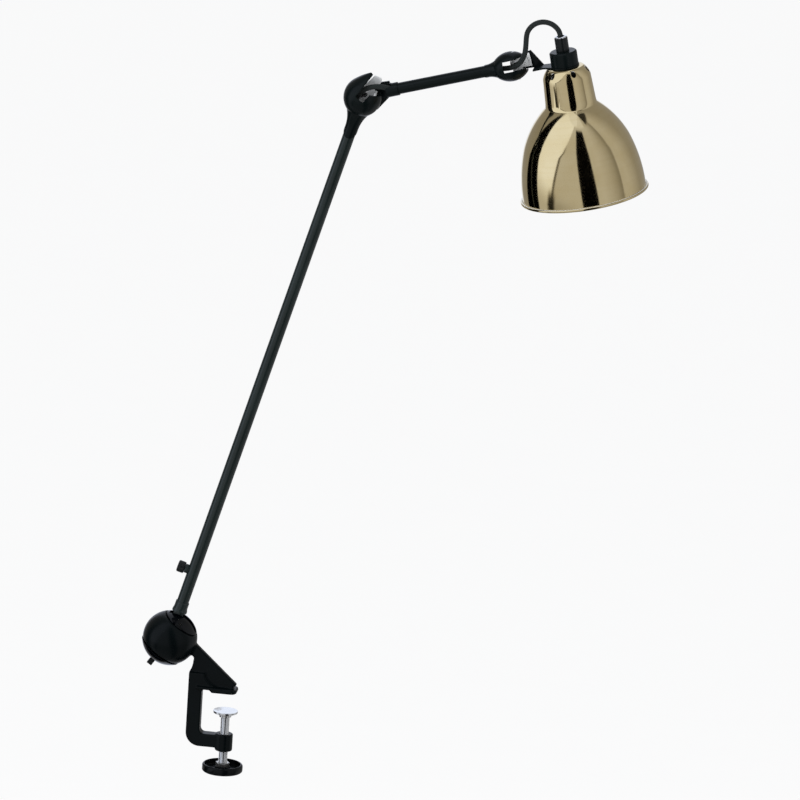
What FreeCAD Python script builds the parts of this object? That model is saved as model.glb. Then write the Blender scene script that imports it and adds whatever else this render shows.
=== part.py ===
"""Clip-on desk lamp: clamp with a sliced ball, two tube arms, two fork joints and a spun shade.

Frame: +Z up, +X along the open side of the clamp, +Y away from the front view. The origin is on the
underside of the upper jaw, over the screw. Lengths are in millimetres, angles in degrees.
"""
import FreeCAD, Part
import math
import os

from FreeCAD import Matrix, Placement, Rotation, Vector

os.makedirs("parts", exist_ok=True)

# Fits and helpers
overrun = 30.0
running_gap = 0.05
face_gap = 0.3
seat_gap = 0.1

# Clamp casting
throat_height = 45.5
frame_depth = 13.0
spine_width = 15.0
spine_left = -41.5
lower_arm_height = 14.5
outer_corner = 15.0
inner_corner = 5.0
jaw_length = 29.5
jaw_reach = 12.0
jaw_thickness = 4.8
jaw_depth = 21.0
jaw_pad_step = 2.5
jaw_corner = 6.0
web_thickness = 7.0
band_bite = 5.0
boss_radius = 9.5
boss_height = 19.0

# Clamp screw, disc and wheel
screw_radius = 4.9
screw_drop = 21.0
screw_length = 64.0
screw_foot_radius = 3.4
disc_radius = 13.3
disc_thickness = 2.2
disc_dish = 2.0
disc_hub_radius = 6.6
disc_hub_height = 5.0
disc_socket_radius = 4.0
disc_socket_depth = 4.5
wheel_radius = 22.0
wheel_height = 8.5
wheel_wall = 2.6
wheel_floor = 3.0
wheel_hub_radius = 8.0
wheel_nut_radius = 7.6
wheel_nut_height = 4.0
wheel_gap_below_boss = 16.5

# Ball
ball_x = -65.0
ball_z = 55.0
ball_axis_tilt = 34.0
ball_radius = 29.5
cap_radius = 30.3
upper_split = 21.6
lower_split = 18.0
split_gap = 1.6
ball_floor = 3.0
core_radius = 19.4
core_floor = 2.6
knuckle_radius = 8.5
knuckle_width = 11.0
knuckle_thickness = 9.0
tilt_pin_radius = 3.0
tilt_half_range = 26.0
cap_spot_radius = 6.8
cap_spot_depth = 2.2
stud_radius = 5.0
stud_collar = 1.2
stud_square = 6.0
stud_tail = 7.5
washer_radius = 12.0

# Long arm
long_arm_length = 655.0
long_arm_tilt = 15.6
tube_radius = 6.5
tube_wall = 1.4
foot_radius = 7.4
foot_flare = 8.2
foot_height = 12.0
foot_start = 31.5
switch_height = 80.0
switch_collar_radius = 5.0
switch_collar_height = 3.4
knob_radius = 6.4
knob_height = 8.0
knob_ribs = 12
knob_groove = 0.7
knob_stem_radius = 1.8
lead_bush_radius = 5.0
lead_bush_height = 9.0
lead_bore_radius = 3.3
lead_bush_place = 62.0

# Short arm
short_arm_length = 172.0
short_arm_tilt = 72.8
short_tube_radius = 6.25
short_tube_start = 34.0
socket_start = 27.0
socket_length = 13.0
socket_wall = 1.1
step_half_width = 5.2
scoop_start = (-8.5, -3.8, 21.5)
scoop_depth = 38.0

# Fork joints, elbow and head
fork_wall = 2.0
cord_bore_radius = 4.2
pivot_pin_radius = 2.0
pivot_head = 1.2
bend_screw_radius = 2.4
sheet_thickness = 1.9
plate_thickness = 2.5

elbow_radius = 20.7
elbow_stem = 49.5
elbow_sleeve = 9.5
elbow_web_half = 13.0
elbow_web_back = 10.0
elbow_flange_half = 7.0
elbow_back_cut = 5.0
elbow_disc_radius = 9.0
elbow_screw_head = 3.7

head_radius = 16.2
head_stem = 38.0
head_sleeve = 8.0
head_web_half = 9.8
head_web_back = 8.0
head_flange_half = 5.6
head_back_cut = 4.0
head_disc_radius = 7.5
head_screw_head = 3.3
head_tip = 11.8
hood_seam = 135.0
sleeve_radius = 7.4
short_sleeve_radius = 7.0
flap_reach_share = 1.02
flap_width_share = 0.45
elbow_flex_start = -48.0
short_flex_start = 45.0
head_flex_start = -28.7

# Shade and lampholder
crown_dx = 53.9
crown_dz = 4.4
shade_tilt = -11.7
shade_height = 145.0
shade_wall = 1.2
neck_top_radius = 26.2
neck_foot_radius = 28.0
neck_height = 44.0
crown_flat_radius = 18.8
crown_round = 7.4
rim_radius = 70.0
rim_bead_radius = 1.6
bell_foot_radius = 67.4
vent_radius = 3.0
vent_count = 6
ring_plate_radius = 15.5
holder_bore_radius = 5.2
neck_fillet = 1.2
bracket_left = 19.2
bracket_right = 30.2
bracket_top = (16.7, 12.9)
bracket_front = 9.0
grip_bore_radius = 4.2
collar_radius = 15.0
collar_height = 15.5
grip_radius = 7.2
grip_height = 15.0
grip_ring_height = 1.6
cord_radius = 2.9
holder_radius = 15.5
holder_length = 42.0
shade_ring_radius = 18.4
shade_ring_height = 5.0
bulb_radius = 22.5
bulb_neck_radius = 13.0
bulb_length = 76.0
bulb_cap_radius = 13.0
bulb_cap_length = 20.0

# Shares of the fork radius: radius and height of the points of each hood outline
elbow_outline_shares = ((0.358, -1.93), (0.435, -1.33), (0.604, -0.918), (1.0, 0.03),
                        (0.70, 0.715), (0.39, 1.04), (0.03, 1.33))
head_outline_shares = ((0.43, -1.85), (0.475, -1.65), (0.587, -1.36), (1.0, -0.17),
                       (0.56, 0.716), (0.30, 0.98), (0.03, 1.18))
# Shares of the fork radius: side and height of the corners of each front opening
elbow_slot_shares = ((-0.314, 0.111), (0.164, -0.077), (0.345, 0.386), (1.21, 0.386),
                     (1.21, 1.93), (0.391, 1.93))
head_slot_shares = ((-0.56, -0.70), (0.17, -0.70), (0.17, 2.0), (-0.62, 2.0))
# Shares of the fork radius: the slanted strap of the elbow stirrup
elbow_strap_shares = ((-0.50, -0.30), (0.10, -0.54), (0.66, 0.92), (0.58, 1.10), (0.22, 1.13))
# Shares of the fork radius: the strap of the head stirrup, up to its folded lip
head_strap_shares = ((-0.58, 0.0), (0.31, 0.0), (0.31, 0.78), (-0.52, 0.78))
head_lip_shares = (0.78, 1.02)

# Shares of the foot radius and the height of the bell, from its neck to its rim
bell_outline_shares = ((0.435, 1.0), (0.66, 0.837), (0.853, 0.609), (0.957, 0.356), (1.0, 0.03))

# Routes of the flex, chosen by hand along the curves that the front view shows.
# Past the elbow: side, depth and height in the frame of the elbow fork.
elbow_lower_route = ((0.0, 0.0, -48.0), (0.0, 0.0, -39.0), (0.0, -0.4, -30.2), (-1.83, -2.55, -21.26),
                     (-3.7, -4.0, -14.0))
elbow_upper_route = ((-3.7, -4.0, -14.0), (-5.57, -5.45, -6.74), (-5.05, -6.4, 0.75), (-2.0, -6.7, 7.6),
                     (3.2, -6.4, 13.0), (9.8, -5.4, 16.5), (17.1, -3.7, 18.3), (24.5, -1.7, 18.7),
                     (31.5, 0.0, 20.31), (37.83, 0.0, 24.38))
# Loop from the short arm to the grip: places in the frame of the lamp
loop_lower_route = ((248.03, 0.0, 728.24), (257.5, 0.0, 731.17), (267.5, -2.8, 733.4),
                    (276.5, -5.9, 737.4), (282.5, -7.1, 744.3), (285.6, -6.5, 752.3),
                    (286.1, -5.7, 760.0), (285.95, -4.9, 767.3))
loop_upper_route = ((285.95, -4.9, 767.3), (285.81, -4.16, 774.05), (288.27, -3.6, 780.49),
                    (292.88, -3.0, 785.61), (299.03, -2.4, 788.74), (305.89, -1.8, 789.46),
                    (312.55, -1.2, 787.68), (318.12, -0.6, 783.62), (321.8, -0.1, 777.9),
                    (323.14, 0.0, 771.09))



corner_share = 1 - math.sqrt(0.5)


def bore_for(radius):
    """Radius of the hole that a shaft of this radius runs in."""
    return radius + running_gap


def frame_at(x, z, tilt):
    """Local frame at a point of the middle plane, its Z axis leaning towards +X by tilt."""
    return Placement(Vector(x, 0, z), Rotation(Vector(0, 1, 0), tilt))


def placed(shape, frame):
    """Copy of a shape, moved from its local frame into the frame of the lamp."""
    return shape.transformed(frame.Matrix, True)


def local_point(frame, point):
    """Point of the lamp frame, seen from a local frame."""
    return frame.inverse().multVec(Vector(*point))


def rod(radius, start, end):
    """Cylinder from one point to another."""
    axis = end.sub(start)
    return Part.makeCylinder(radius, axis.Length, start, axis)


def upright(radius, low, high, x=0.0):
    """Cylinder along Z between two heights."""
    return rod(radius, Vector(x, 0, low), Vector(x, 0, high))


def block(x_range, y_range, z_range):
    """Box between pairs of limits."""
    corner = Vector(x_range[0], y_range[0], z_range[0])
    return Part.makeBox(x_range[1] - x_range[0], y_range[1] - y_range[0], z_range[1] - z_range[0], corner)


def outline(start, *steps):
    """Closed wire in the XZ plane. A step is a point for a line, or a pair of points for an arc."""
    edges = []
    here = Vector(start[0], 0, start[1])
    for step in steps + (start,):
        if isinstance(step[0], tuple):
            middle, end = (Vector(p[0], 0, p[1]) for p in step)
            edges.append(Part.Arc(here, middle, end).toShape())
        else:
            end = Vector(step[0], 0, step[1])
            if end.distanceToPoint(here) == 0:
                continue
            edges.append(Part.makeLine(here, end))
        here = end
    return Part.Wire(edges)


def plate(wire, y_low, y_high):
    """Flat piece from an outline in the XZ plane, between two depths."""
    face = Part.Face(wire)
    face.translate(Vector(0, y_low, 0))
    return face.extrude(Vector(0, y_high - y_low, 0))


def side_plate(wire, x_low, x_high):
    """Flat piece whose outline, given in XZ, is seen along X as depth and height."""
    piece = plate(wire, 0, x_high - x_low)
    piece.rotate(Vector(0, 0, 0), Vector(0, 0, 1), 90)
    piece.translate(Vector(x_high, 0, 0))
    return piece


def turned(wire, seam=0):
    """Solid of revolution about Z, with its seam turned clear of any hole."""
    piece = Part.Face(wire).revolve(Vector(0, 0, 0), Vector(0, 0, 1), 360)
    piece.rotate(Vector(0, 0, 0), Vector(0, 0, 1), seam)
    return piece


def hexagon(circumradius, low, high):
    """Hexagon prism along Z."""
    corners = []
    for index in range(6):
        angle = math.radians(60 * index)
        corners.append(Vector(circumradius * math.cos(angle), circumradius * math.sin(angle), low))
    face = Part.Face(Part.makePolygon(corners + corners[:1]))
    return face.extrude(Vector(0, 0, high - low))


def along_y(shape):
    """Turn a shape so that its Z axis points along +Y."""
    shape = shape.copy()
    shape.rotate(Vector(0, 0, 0), Vector(1, 0, 0), -90)
    return shape


def along_x(shape):
    """Turn a shape so that its Z axis points along +X."""
    shape = shape.copy()
    shape.rotate(Vector(0, 0, 0), Vector(0, 1, 0), 90)
    return shape


def rounded(x_low, x_high, z_low, z_high, radius):
    """Outline of a rectangle with round corners."""
    cut = radius * (1 - math.sqrt(0.5))
    return outline((x_low + radius, z_low), (x_high - radius, z_low),
                   ((x_high - cut, z_low + cut), (x_high, z_low + radius)), (x_high, z_high - radius),
                   ((x_high - cut, z_high - cut), (x_high - radius, z_high)), (x_low + radius, z_high),
                   ((x_low + cut, z_high - cut), (x_low, z_high - radius)), (x_low, z_low + radius),
                   ((x_low + cut, z_low + cut), (x_low + radius, z_low)))


def disc_hull(center, radius, points):
    """Outline of a round end with straight tangents to the first and the last of the points."""
    tangents = []
    for point, side in ((points[0], -1), (points[-1], 1)):
        dx, dz = point[0] - center[0], point[1] - center[1]
        reach = math.hypot(dx, dz)
        angle = math.atan2(dz, dx) + side * math.acos(radius / reach)
        tangents.append((angle, (center[0] + radius * math.cos(angle), center[1] + radius * math.sin(angle))))
    first, last = tangents[0], tangents[1]
    sweep = (first[0] - last[0]) % (2 * math.pi)
    middle = last[0] + sweep / 2
    top = (center[0] + radius * math.cos(middle), center[1] + radius * math.sin(middle))
    return outline(first[1], *points, last[1], (top, first[1]))


def tube_along(route, radius):
    """Tube of straight runs joined by tangent arcs, each as large as its runs allow."""
    points = [Vector(*p) for p in route]
    edges = []
    radii = []
    here = points[0]
    for before, corner, after in zip(points, points[1:], points[2:]):
        back, ahead = before.sub(corner), after.sub(corner)
        trim = 0.45 * min(back.Length, ahead.Length)
        back.normalize()
        ahead.normalize()
        half_turn = (math.pi - back.getAngle(ahead)) / 2
        arc_radius = trim / math.tan(half_turn)
        radii.append(arc_radius)
        start, end = corner + back * trim, corner + ahead * trim
        bisector = (back + ahead).normalize()
        middle = corner + bisector * (arc_radius / math.cos(half_turn) - arc_radius)
        edges.append(Part.makeLine(here, start))
        edges.append(Part.Arc(start, middle, end).toShape())
        here = end
    edges.append(Part.makeLine(here, points[-1]))
    path = Part.Wire(edges)
    section = Part.Wire(Part.makeCircle(radius, points[0], points[1].sub(points[0])))
    solid = path.makePipeShell([section], True, False)
    wanted = math.pi * radius ** 2 * path.Length
    print("flex: length %.1f, volume ratio %.4f, radii %s"
          % (path.Length, solid.Volume / wanted, " ".join("%.0f" % r for r in radii)))
    return solid


def share_points(shares, size):
    """Table of shares turned into lengths."""
    return [(size * a, size * b) for a, b in shares]


def hood(shares, radius, stem_radius, stem, sleeve, tube_hole, wall):
    """Hollow egg on a stem: outer outline less an inner one, with the socket for the tube below."""
    neck, neck_mid, start, side, end, tip_mid, tip = share_points(shares, radius)
    outer = turned(outline((0, -stem), (stem_radius, -stem), (stem_radius, neck[1]),
                           (neck_mid, start), (side, end), (tip_mid, tip), (0, tip[1])), hood_seam)
    hollow = outline((0, -stem - overrun), (tube_hole, -stem - overrun), (tube_hole, sleeve - stem),
                     (cord_bore_radius, sleeve - stem), (cord_bore_radius, neck_mid[1]),
                     (start[0] - wall, start[1]),
                     ((side[0] - wall, side[1]), (end[0] - wall, end[1])),
                     ((tip_mid[0] - wall, tip_mid[1] - wall), (tip[0], tip[1] - 2 * wall)),
                     (0, tip[1] - 2 * wall))
    tongue = plate(outline((-radius, stem), (-radius, stem_radius - stem), (-stem_radius, stem_radius - stem),
                           ((0, -stem), (stem_radius, stem_radius - stem)), (radius, stem_radius - stem),
                           (radius, stem)), -overrun, overrun)
    return outer.common(tongue).cut(turned(hollow, hood_seam))


def fork(shares, slot_shares, radius, stem_radius, stem, sleeve, tube_hole, back_cut):
    """Fork of a joint: hood with a front opening, an open back and two holes for the swing pins."""
    body = hood(shares, radius, stem_radius, stem, sleeve, tube_hole, fork_wall)
    corners = share_points(slot_shares, radius)
    body = body.cut(plate(outline(*corners), -overrun, overrun))
    waist = share_points(shares, radius)[1][1]
    back = side_plate(outline((back_cut, overrun + radius), (back_cut, waist + radius / 6),
                              (stem_radius + fork_wall, waist - radius / 4),
                              (overrun, waist - radius / 4), (overrun, overrun + radius)),
                      -overrun, overrun)
    body = body.cut(back)
    return body.cut(rod(bore_for(pivot_pin_radius), Vector(-overrun, 0, 0), Vector(overrun, 0, 0)))


def swing_pins(radius, web_half):
    """Two pins through the cheeks of a fork, each with a shoulder and a riveted inner end."""
    pins = []
    for side in (-1, 1):
        inner = web_half - sheet_thickness - seat_gap
        shoulder = radius - fork_wall - pivot_pin_radius
        pin = rod(pivot_pin_radius, Vector(side * (inner - pivot_head), 0, 0),
                  Vector(side * (radius - pivot_pin_radius / 4), 0, 0))
        head = rod(pivot_pin_radius + pivot_head, Vector(side * (inner - pivot_head), 0, 0),
                   Vector(side * inner, 0, 0))
        collar = rod(pivot_pin_radius + pivot_head, Vector(side * (web_half + face_gap), 0, 0),
                     Vector(side * shoulder, 0, 0))
        pins.append(pin.fuse([head, collar]).removeSplitter())
    return Part.makeCompound(pins)


def stirrup(web_half, web_back, flange_half, strap, slot=None):
    """Folded sheet: a web behind the pivot, two flanges on the swing pins and a strap."""
    web_front = web_back - sheet_thickness
    web = plate(rounded(-web_half, web_half, -flange_half, flange_half, sheet_thickness / 2),
                web_front, web_back)
    pieces = [plate(outline(*strap), web_front, web_back)]
    for side in (-1, 1):
        inner = side * (web_half - sheet_thickness)
        low, high = min(inner, side * web_half), max(inner, side * web_half)
        pieces.append(block((low, high), (0, web_back - sheet_thickness / 2), (-flange_half, flange_half)))
        pieces.append(rod(flange_half, Vector(low, 0, 0), Vector(high, 0, 0)))
    body = web.fuse(pieces)
    body = body.cut(rod(bore_for(pivot_pin_radius), Vector(-overrun, 0, 0), Vector(overrun, 0, 0)))
    return body.cut(rod(bend_screw_radius, Vector(0, 0, 0), Vector(0, overrun, 0)))


def cross_screw(web_back, head_radius_):
    """Screw along the depth: round head on the web, shank through web and plate."""
    web_front = web_back - sheet_thickness
    head = along_y(upright(head_radius_, web_front - plate_thickness, web_front))
    shank = along_y(upright(bend_screw_radius, web_front,
                            web_back + face_gap + plate_thickness + face_gap + plate_thickness))
    return head.fuse(shank).removeSplitter()


def cross_nut(web_back, nut_size):
    """Hexagon nut behind the plate of a joint."""
    start = web_back + face_gap + plate_thickness + face_gap
    nut = along_y(hexagon(nut_size, start, start + plate_thickness))
    return nut.cut(along_y(upright(bend_screw_radius, start - overrun, start + overrun)))


ball_frame = frame_at(ball_x, ball_z, ball_axis_tilt)
long_frame = frame_at(ball_x, ball_z, long_arm_tilt)
elbow_point = long_frame.multVec(Vector(0, 0, long_arm_length))
elbow_frame = frame_at(elbow_point.x, elbow_point.z, long_arm_tilt)
short_frame = frame_at(elbow_point.x, elbow_point.z, short_arm_tilt)
head_center = short_frame.multVec(Vector(0, 0, short_arm_length))
head_point = (head_center.x, head_center.z)
head_frame = frame_at(head_center.x, head_center.z, short_arm_tilt)
shade_frame = frame_at(head_center.x + crown_dx, head_center.z + crown_dz, shade_tilt)


def build_clamp():
    """Cast frame: C section, jaw, triangular web and the bored middle slice of the ball."""
    low_top = -throat_height - jaw_pad_step
    low_bottom = low_top - lower_arm_height
    spine_right = spine_left + spine_width
    bow = 1 - math.sqrt(0.5)
    spine_top = jaw_thickness + spine_width
    frame_outline = outline(
        (spine_left, spine_top),
        (spine_left, low_bottom + outer_corner),
        ((spine_left + bow * outer_corner, low_bottom + bow * outer_corner),
         (spine_left + outer_corner, low_bottom)),
        (0, low_bottom), (0, low_top), (spine_right + inner_corner, low_top),
        ((spine_right + bow * inner_corner, low_top + bow * inner_corner),
         (spine_right, low_top + inner_corner)),
        (spine_right, jaw_pad_step - inner_corner),
        ((spine_right + bow * inner_corner, jaw_pad_step - bow * inner_corner),
         (spine_right + inner_corner, jaw_pad_step)),
        (jaw_reach - jaw_corner, jaw_pad_step), (jaw_reach - jaw_corner, jaw_thickness),
        (spine_right + spine_width, jaw_thickness + jaw_pad_step / 2),
        ((spine_right + spine_width / 2, jaw_thickness + jaw_pad_step * 2),
         (spine_right + jaw_pad_step, spine_top)))
    casting = plate(frame_outline, -frame_depth / 2, frame_depth / 2)
    pad_left = jaw_reach - jaw_length
    jaw = plate(outline((spine_right - inner_corner, jaw_pad_step), (pad_left, jaw_pad_step),
                        (pad_left + jaw_pad_step, 0), (jaw_reach - jaw_thickness / 2, 0),
                        ((jaw_reach, jaw_thickness / 2), (jaw_reach - jaw_thickness / 2, jaw_thickness)),
                        (spine_right - inner_corner, jaw_thickness + jaw_pad_step / 2)),
                -jaw_depth / 2, jaw_depth / 2)
    jaw_plan = rounded(spine_left, jaw_reach, -jaw_depth / 2, jaw_depth / 2, jaw_corner)
    plan = Part.Face(jaw_plan)
    plan.rotate(Vector(0, 0, 0), Vector(1, 0, 0), -90)
    jaw = jaw.common(plan.extrude(Vector(0, 0, overrun)).fuse(plan.extrude(Vector(0, 0, -overrun))))
    flare = plate(outline((spine_left, -spine_width / 2), (spine_right, -spine_width / 2),
                          (spine_right, spine_top), (spine_left, spine_top)),
                  -frame_depth / 2, frame_depth / 2)
    neck_low = (spine_left, spine_top)
    waist_mid = (spine_left + web_thickness / 3, spine_top + spine_width / 3)
    waist = (spine_left + web_thickness / 2, spine_top + spine_width * 0.85)
    apex = (spine_left + web_thickness / 6, spine_top + spine_width * 1.2)
    band_low = (ball_x + web_thickness, ball_z - ball_radius + band_bite)
    band_high = (ball_x + ball_radius - band_bite, ball_z)
    tip = (jaw_reach - jaw_thickness / 3, 2 * jaw_thickness)
    web = plate(outline(neck_low, (waist_mid, waist),
                        ((apex[0] + web_thickness / 4, apex[1] - web_thickness / 8), apex),
                        (apex[0] - web_thickness, apex[1] - web_thickness / 4),
                        band_low, band_high, tip, (tip[0], tip[1] - web_thickness / 5),
                        (tip[0] - jaw_thickness, jaw_thickness + jaw_pad_step / 4),
                        (tip[0] - jaw_thickness, jaw_thickness / 2),
                        (spine_left + spine_width / 2, jaw_thickness / 2),
                        (spine_left, -spine_width / 2)),
                -web_thickness / 2, web_thickness / 2)
    boss = upright(boss_radius, low_top - boss_height + jaw_pad_step / 2, low_top + jaw_pad_step / 2)
    band = Part.makeSphere(ball_radius)
    band = band.common(upright(2 * ball_radius, split_gap - lower_split, upper_split - split_gap))
    casting = casting.fuse([jaw, flare, web, boss, placed(band, ball_frame)])
    floor_low = split_gap - lower_split
    hollow = upright(bore_for(core_radius), floor_low + ball_floor - face_gap, overrun)
    hollow = hollow.fuse(upright(bore_for(stud_radius), -overrun, overrun))
    space = upright(2 * ball_radius, upper_split - split_gap, overrun)
    space = space.fuse(upright(2 * ball_radius, -overrun, floor_low))
    space = space.common(Part.makeSphere(cap_radius + split_gap))
    casting = casting.cut(placed(hollow.fuse(space), ball_frame))
    casting = casting.cut(upright(screw_radius + seat_gap, low_bottom - overrun, low_top + overrun / 2))
    return casting.removeSplitter()


def build_screw_group():
    """Screw with its ball foot, cupped disc, wheel and nut."""
    disc_top = -screw_drop
    screw_top = disc_top - disc_dish - running_gap
    screw_bottom = screw_top - screw_length
    neck_top = disc_top - disc_hub_height - disc_dish
    screw = upright(screw_radius, screw_bottom, neck_top - face_gap)
    screw = screw.fuse(upright(screw_foot_radius, neck_top - face_gap, screw_top - face_gap)).removeSplitter()
    dish = turned(outline((0, disc_top - disc_dish), (disc_hub_radius, disc_top - disc_dish),
                          (disc_radius, disc_top), (disc_radius, disc_top - disc_thickness),
                          (disc_hub_radius, disc_top - disc_dish - disc_thickness),
                          (disc_hub_radius, neck_top), (screw_foot_radius + face_gap, neck_top),
                          (screw_foot_radius + face_gap, screw_top), (0, screw_top)))
    wheel_top = -throat_height - boss_height - wheel_gap_below_boss
    wheel_low = wheel_top - wheel_height
    rim_cut = wheel_wall / 2
    wheel = turned(outline((0, wheel_low), (wheel_radius - rim_cut, wheel_low),
                           (wheel_radius, wheel_low + rim_cut), (wheel_radius, wheel_top - rim_cut),
                           (wheel_radius - rim_cut, wheel_top), (wheel_radius - wheel_wall, wheel_top),
                           (wheel_radius - wheel_wall, wheel_low + wheel_floor),
                           (wheel_hub_radius, wheel_low + wheel_floor),
                           (wheel_hub_radius, wheel_low + 2 * wheel_floor), (0, wheel_low + 2 * wheel_floor)))
    wheel = wheel.cut(upright(screw_radius, wheel_low + wheel_floor / 2, overrun))
    screw = screw.common(upright(overrun, wheel_low + wheel_floor / 2, 0))
    nut = hexagon(wheel_nut_radius, wheel_low + 2 * wheel_floor,
                  wheel_low + 2 * wheel_floor + wheel_nut_height)
    nut = nut.cut(upright(screw_radius, wheel_low, overrun))
    return {"clamp_screw": screw, "pressure_disc": dish, "handwheel": wheel, "wheel_nut": nut}


def build_ball():
    """Slotted upper dome on a turned core, lower cap, stud, tilt pin and spring washer."""
    core_low = split_gap - lower_split + ball_floor
    slot_half = knuckle_thickness / 2 + face_gap
    floor_top = core_low + core_floor
    lean = math.radians(tilt_half_range)
    blade = knuckle_width / 2 / math.cos(lean) + face_gap
    eye = knuckle_radius + face_gap
    slot_foot = (eye - blade) / math.tan(lean)
    slot_side = blade + ball_radius * math.tan(lean)
    slot = plate(outline((-eye, floor_top), (eye, floor_top), (eye, slot_foot), (slot_side, ball_radius),
                         (slot_side, 2 * ball_radius), (-slot_side, 2 * ball_radius),
                         (-slot_side, ball_radius), (-eye, slot_foot)), -slot_half, slot_half)
    dome = Part.makeSphere(ball_radius).common(upright(2 * ball_radius, upper_split, 2 * ball_radius))
    dome = dome.fuse(upright(core_radius, core_low, upper_split + face_gap)).cut(slot)
    pin_half = math.sqrt(core_radius ** 2 - tilt_pin_radius ** 2) - seat_gap
    pin = rod(tilt_pin_radius, Vector(0, -pin_half, 0), Vector(0, pin_half, 0))
    dome = dome.cut(rod(tilt_pin_radius, Vector(0, -overrun, 0), Vector(0, overrun, 0)))
    dome = dome.cut(upright(stud_radius, core_low - overrun, floor_top))
    cap = Part.makeSphere(cap_radius).common(upright(2 * ball_radius, -2 * ball_radius, -lower_split))
    spot_face = -cap_radius + cap_spot_depth
    cap = cap.cut(upright(cap_spot_radius, -2 * ball_radius, spot_face))
    cap = cap.cut(upright(stud_radius, -2 * ball_radius, 0))
    tail = block((-stud_square / 2, stud_square / 2), (-stud_square / 2, stud_square / 2),
                 (-cap_radius - stud_tail, spot_face))
    stud = upright(stud_radius, spot_face - stud_collar, floor_top - seat_gap).fuse(tail).removeSplitter()
    washer = turned(outline((bore_for(stud_radius) + seat_gap, -lower_split + seat_gap),
                            (washer_radius, -lower_split + seat_gap),
                            (washer_radius, split_gap - lower_split - seat_gap),
                            (bore_for(stud_radius) + seat_gap, split_gap - lower_split - seat_gap)))
    pieces = {"ball_upper_dome": dome.removeSplitter(), "ball_lower_cap": cap, "ball_stud": stud,
              "tilt_pin": pin, "spring_washer": washer}
    return {name: placed(shape, ball_frame) for name, shape in pieces.items()}


def build_long_arm():
    """Knuckle, flared foot, long tube, switch, lead outlet and the flex inside the tube."""
    eye = along_y(upright(knuckle_radius, -knuckle_thickness / 2, knuckle_thickness / 2))
    blade = block((-knuckle_width / 2, knuckle_width / 2), (-knuckle_thickness / 2, knuckle_thickness / 2),
                  (0, foot_start))
    spigot = upright(tube_radius - tube_wall, foot_start - seat_gap, foot_start + foot_height)
    knuckle = eye.fuse([blade, spigot])
    knuckle = knuckle.cut(rod(bore_for(tilt_pin_radius), Vector(0, -overrun, 0), Vector(0, overrun, 0)))
    foot = turned(outline((bore_for(tube_radius), foot_start), (foot_flare, foot_start),
                          (foot_flare, foot_start + foot_height / 6),
                          ((foot_radius + (foot_flare - foot_radius) / 4, foot_start + foot_height / 3),
                           (foot_radius, foot_start + foot_height / 2)),
                          (foot_radius, foot_start + foot_height - tube_wall / 2),
                          (foot_radius - tube_wall / 2, foot_start + foot_height),
                          (bore_for(tube_radius), foot_start + foot_height)))
    tube_top = long_arm_length - elbow_stem + elbow_sleeve
    tube = upright(tube_radius, foot_start, tube_top - seat_gap)
    tube = tube.cut(upright(tube_radius - tube_wall, foot_start - overrun, tube_top + overrun))
    spigot_radius = switch_collar_radius - tube_wall / 2
    tube = tube.cut(rod(spigot_radius, Vector(-overrun, 0, switch_height), Vector(0, 0, switch_height)))
    tube = tube.cut(rod(lead_bore_radius + tube_wall, Vector(0, 0, lead_bush_place),
                        Vector(0, overrun, lead_bush_place)))
    stem = Vector(-tube_radius + tube_wall, 0, switch_height)
    seat = Vector(-tube_radius, 0, switch_height)
    lip = Vector(-tube_radius - switch_collar_height, 0, switch_height)
    collar = rod(spigot_radius, stem, seat).fuse(rod(switch_collar_radius, seat, lip)).removeSplitter()
    collar = collar.cut(rod(bore_for(knob_stem_radius), lip, stem))
    knob_low = tube_radius + switch_collar_height + face_gap
    knob = turned(outline((0, knob_low), (knob_radius - knob_groove, knob_low),
                          (knob_radius, knob_low + knob_groove),
                          (knob_radius, knob_low + knob_height - 2 * knob_groove),
                          ((knob_radius - 2 * knob_groove * corner_share,
                            knob_low + knob_height - 2 * knob_groove * corner_share),
                           (knob_radius - 2 * knob_groove, knob_low + knob_height)),
                          (0, knob_low + knob_height)))
    for index in range(knob_ribs):
        angle = 360 * index / knob_ribs
        groove = upright(knob_groove, knob_low + knob_height / 3, knob_low + 2 * knob_height,
                         knob_radius + knob_groove / 3)
        groove.rotate(Vector(0, 0, 0), Vector(0, 0, 1), angle)
        knob = knob.cut(groove)
    knob = knob.fuse(upright(knob_stem_radius, tube_radius - tube_wall + seat_gap, knob_low + knob_groove))
    knob.rotate(Vector(0, 0, 0), Vector(0, 1, 0), -90)
    knob.translate(Vector(0, 0, switch_height))
    bush_low = math.sqrt(tube_radius ** 2 - lead_bush_radius ** 2)
    bush = turned(outline((lead_bore_radius, bush_low), (lead_bush_radius, bush_low),
                          (lead_bush_radius, tube_radius + lead_bush_height / 3),
                          (lead_bush_radius * 0.8, tube_radius + lead_bush_height),
                          (lead_bore_radius, tube_radius + lead_bush_height)))
    bush = along_y(bush)
    bush.translate(Vector(0, 0, lead_bush_place))
    bush = bush.cut(upright(tube_radius + seat_gap, 0, 2 * lead_bush_place))
    flex = upright(cord_radius, lead_bush_place, long_arm_length + elbow_flex_start)
    pieces = {"arm_knuckle": knuckle.removeSplitter(), "foot_sleeve": foot, "long_tube": tube,
              "switch_collar": collar, "switch_knob": knob.removeSplitter(), "lead_bush": bush,
              "cord_long_arm": flex}
    return {name: placed(shape, long_frame) for name, shape in pieces.items()}


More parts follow.
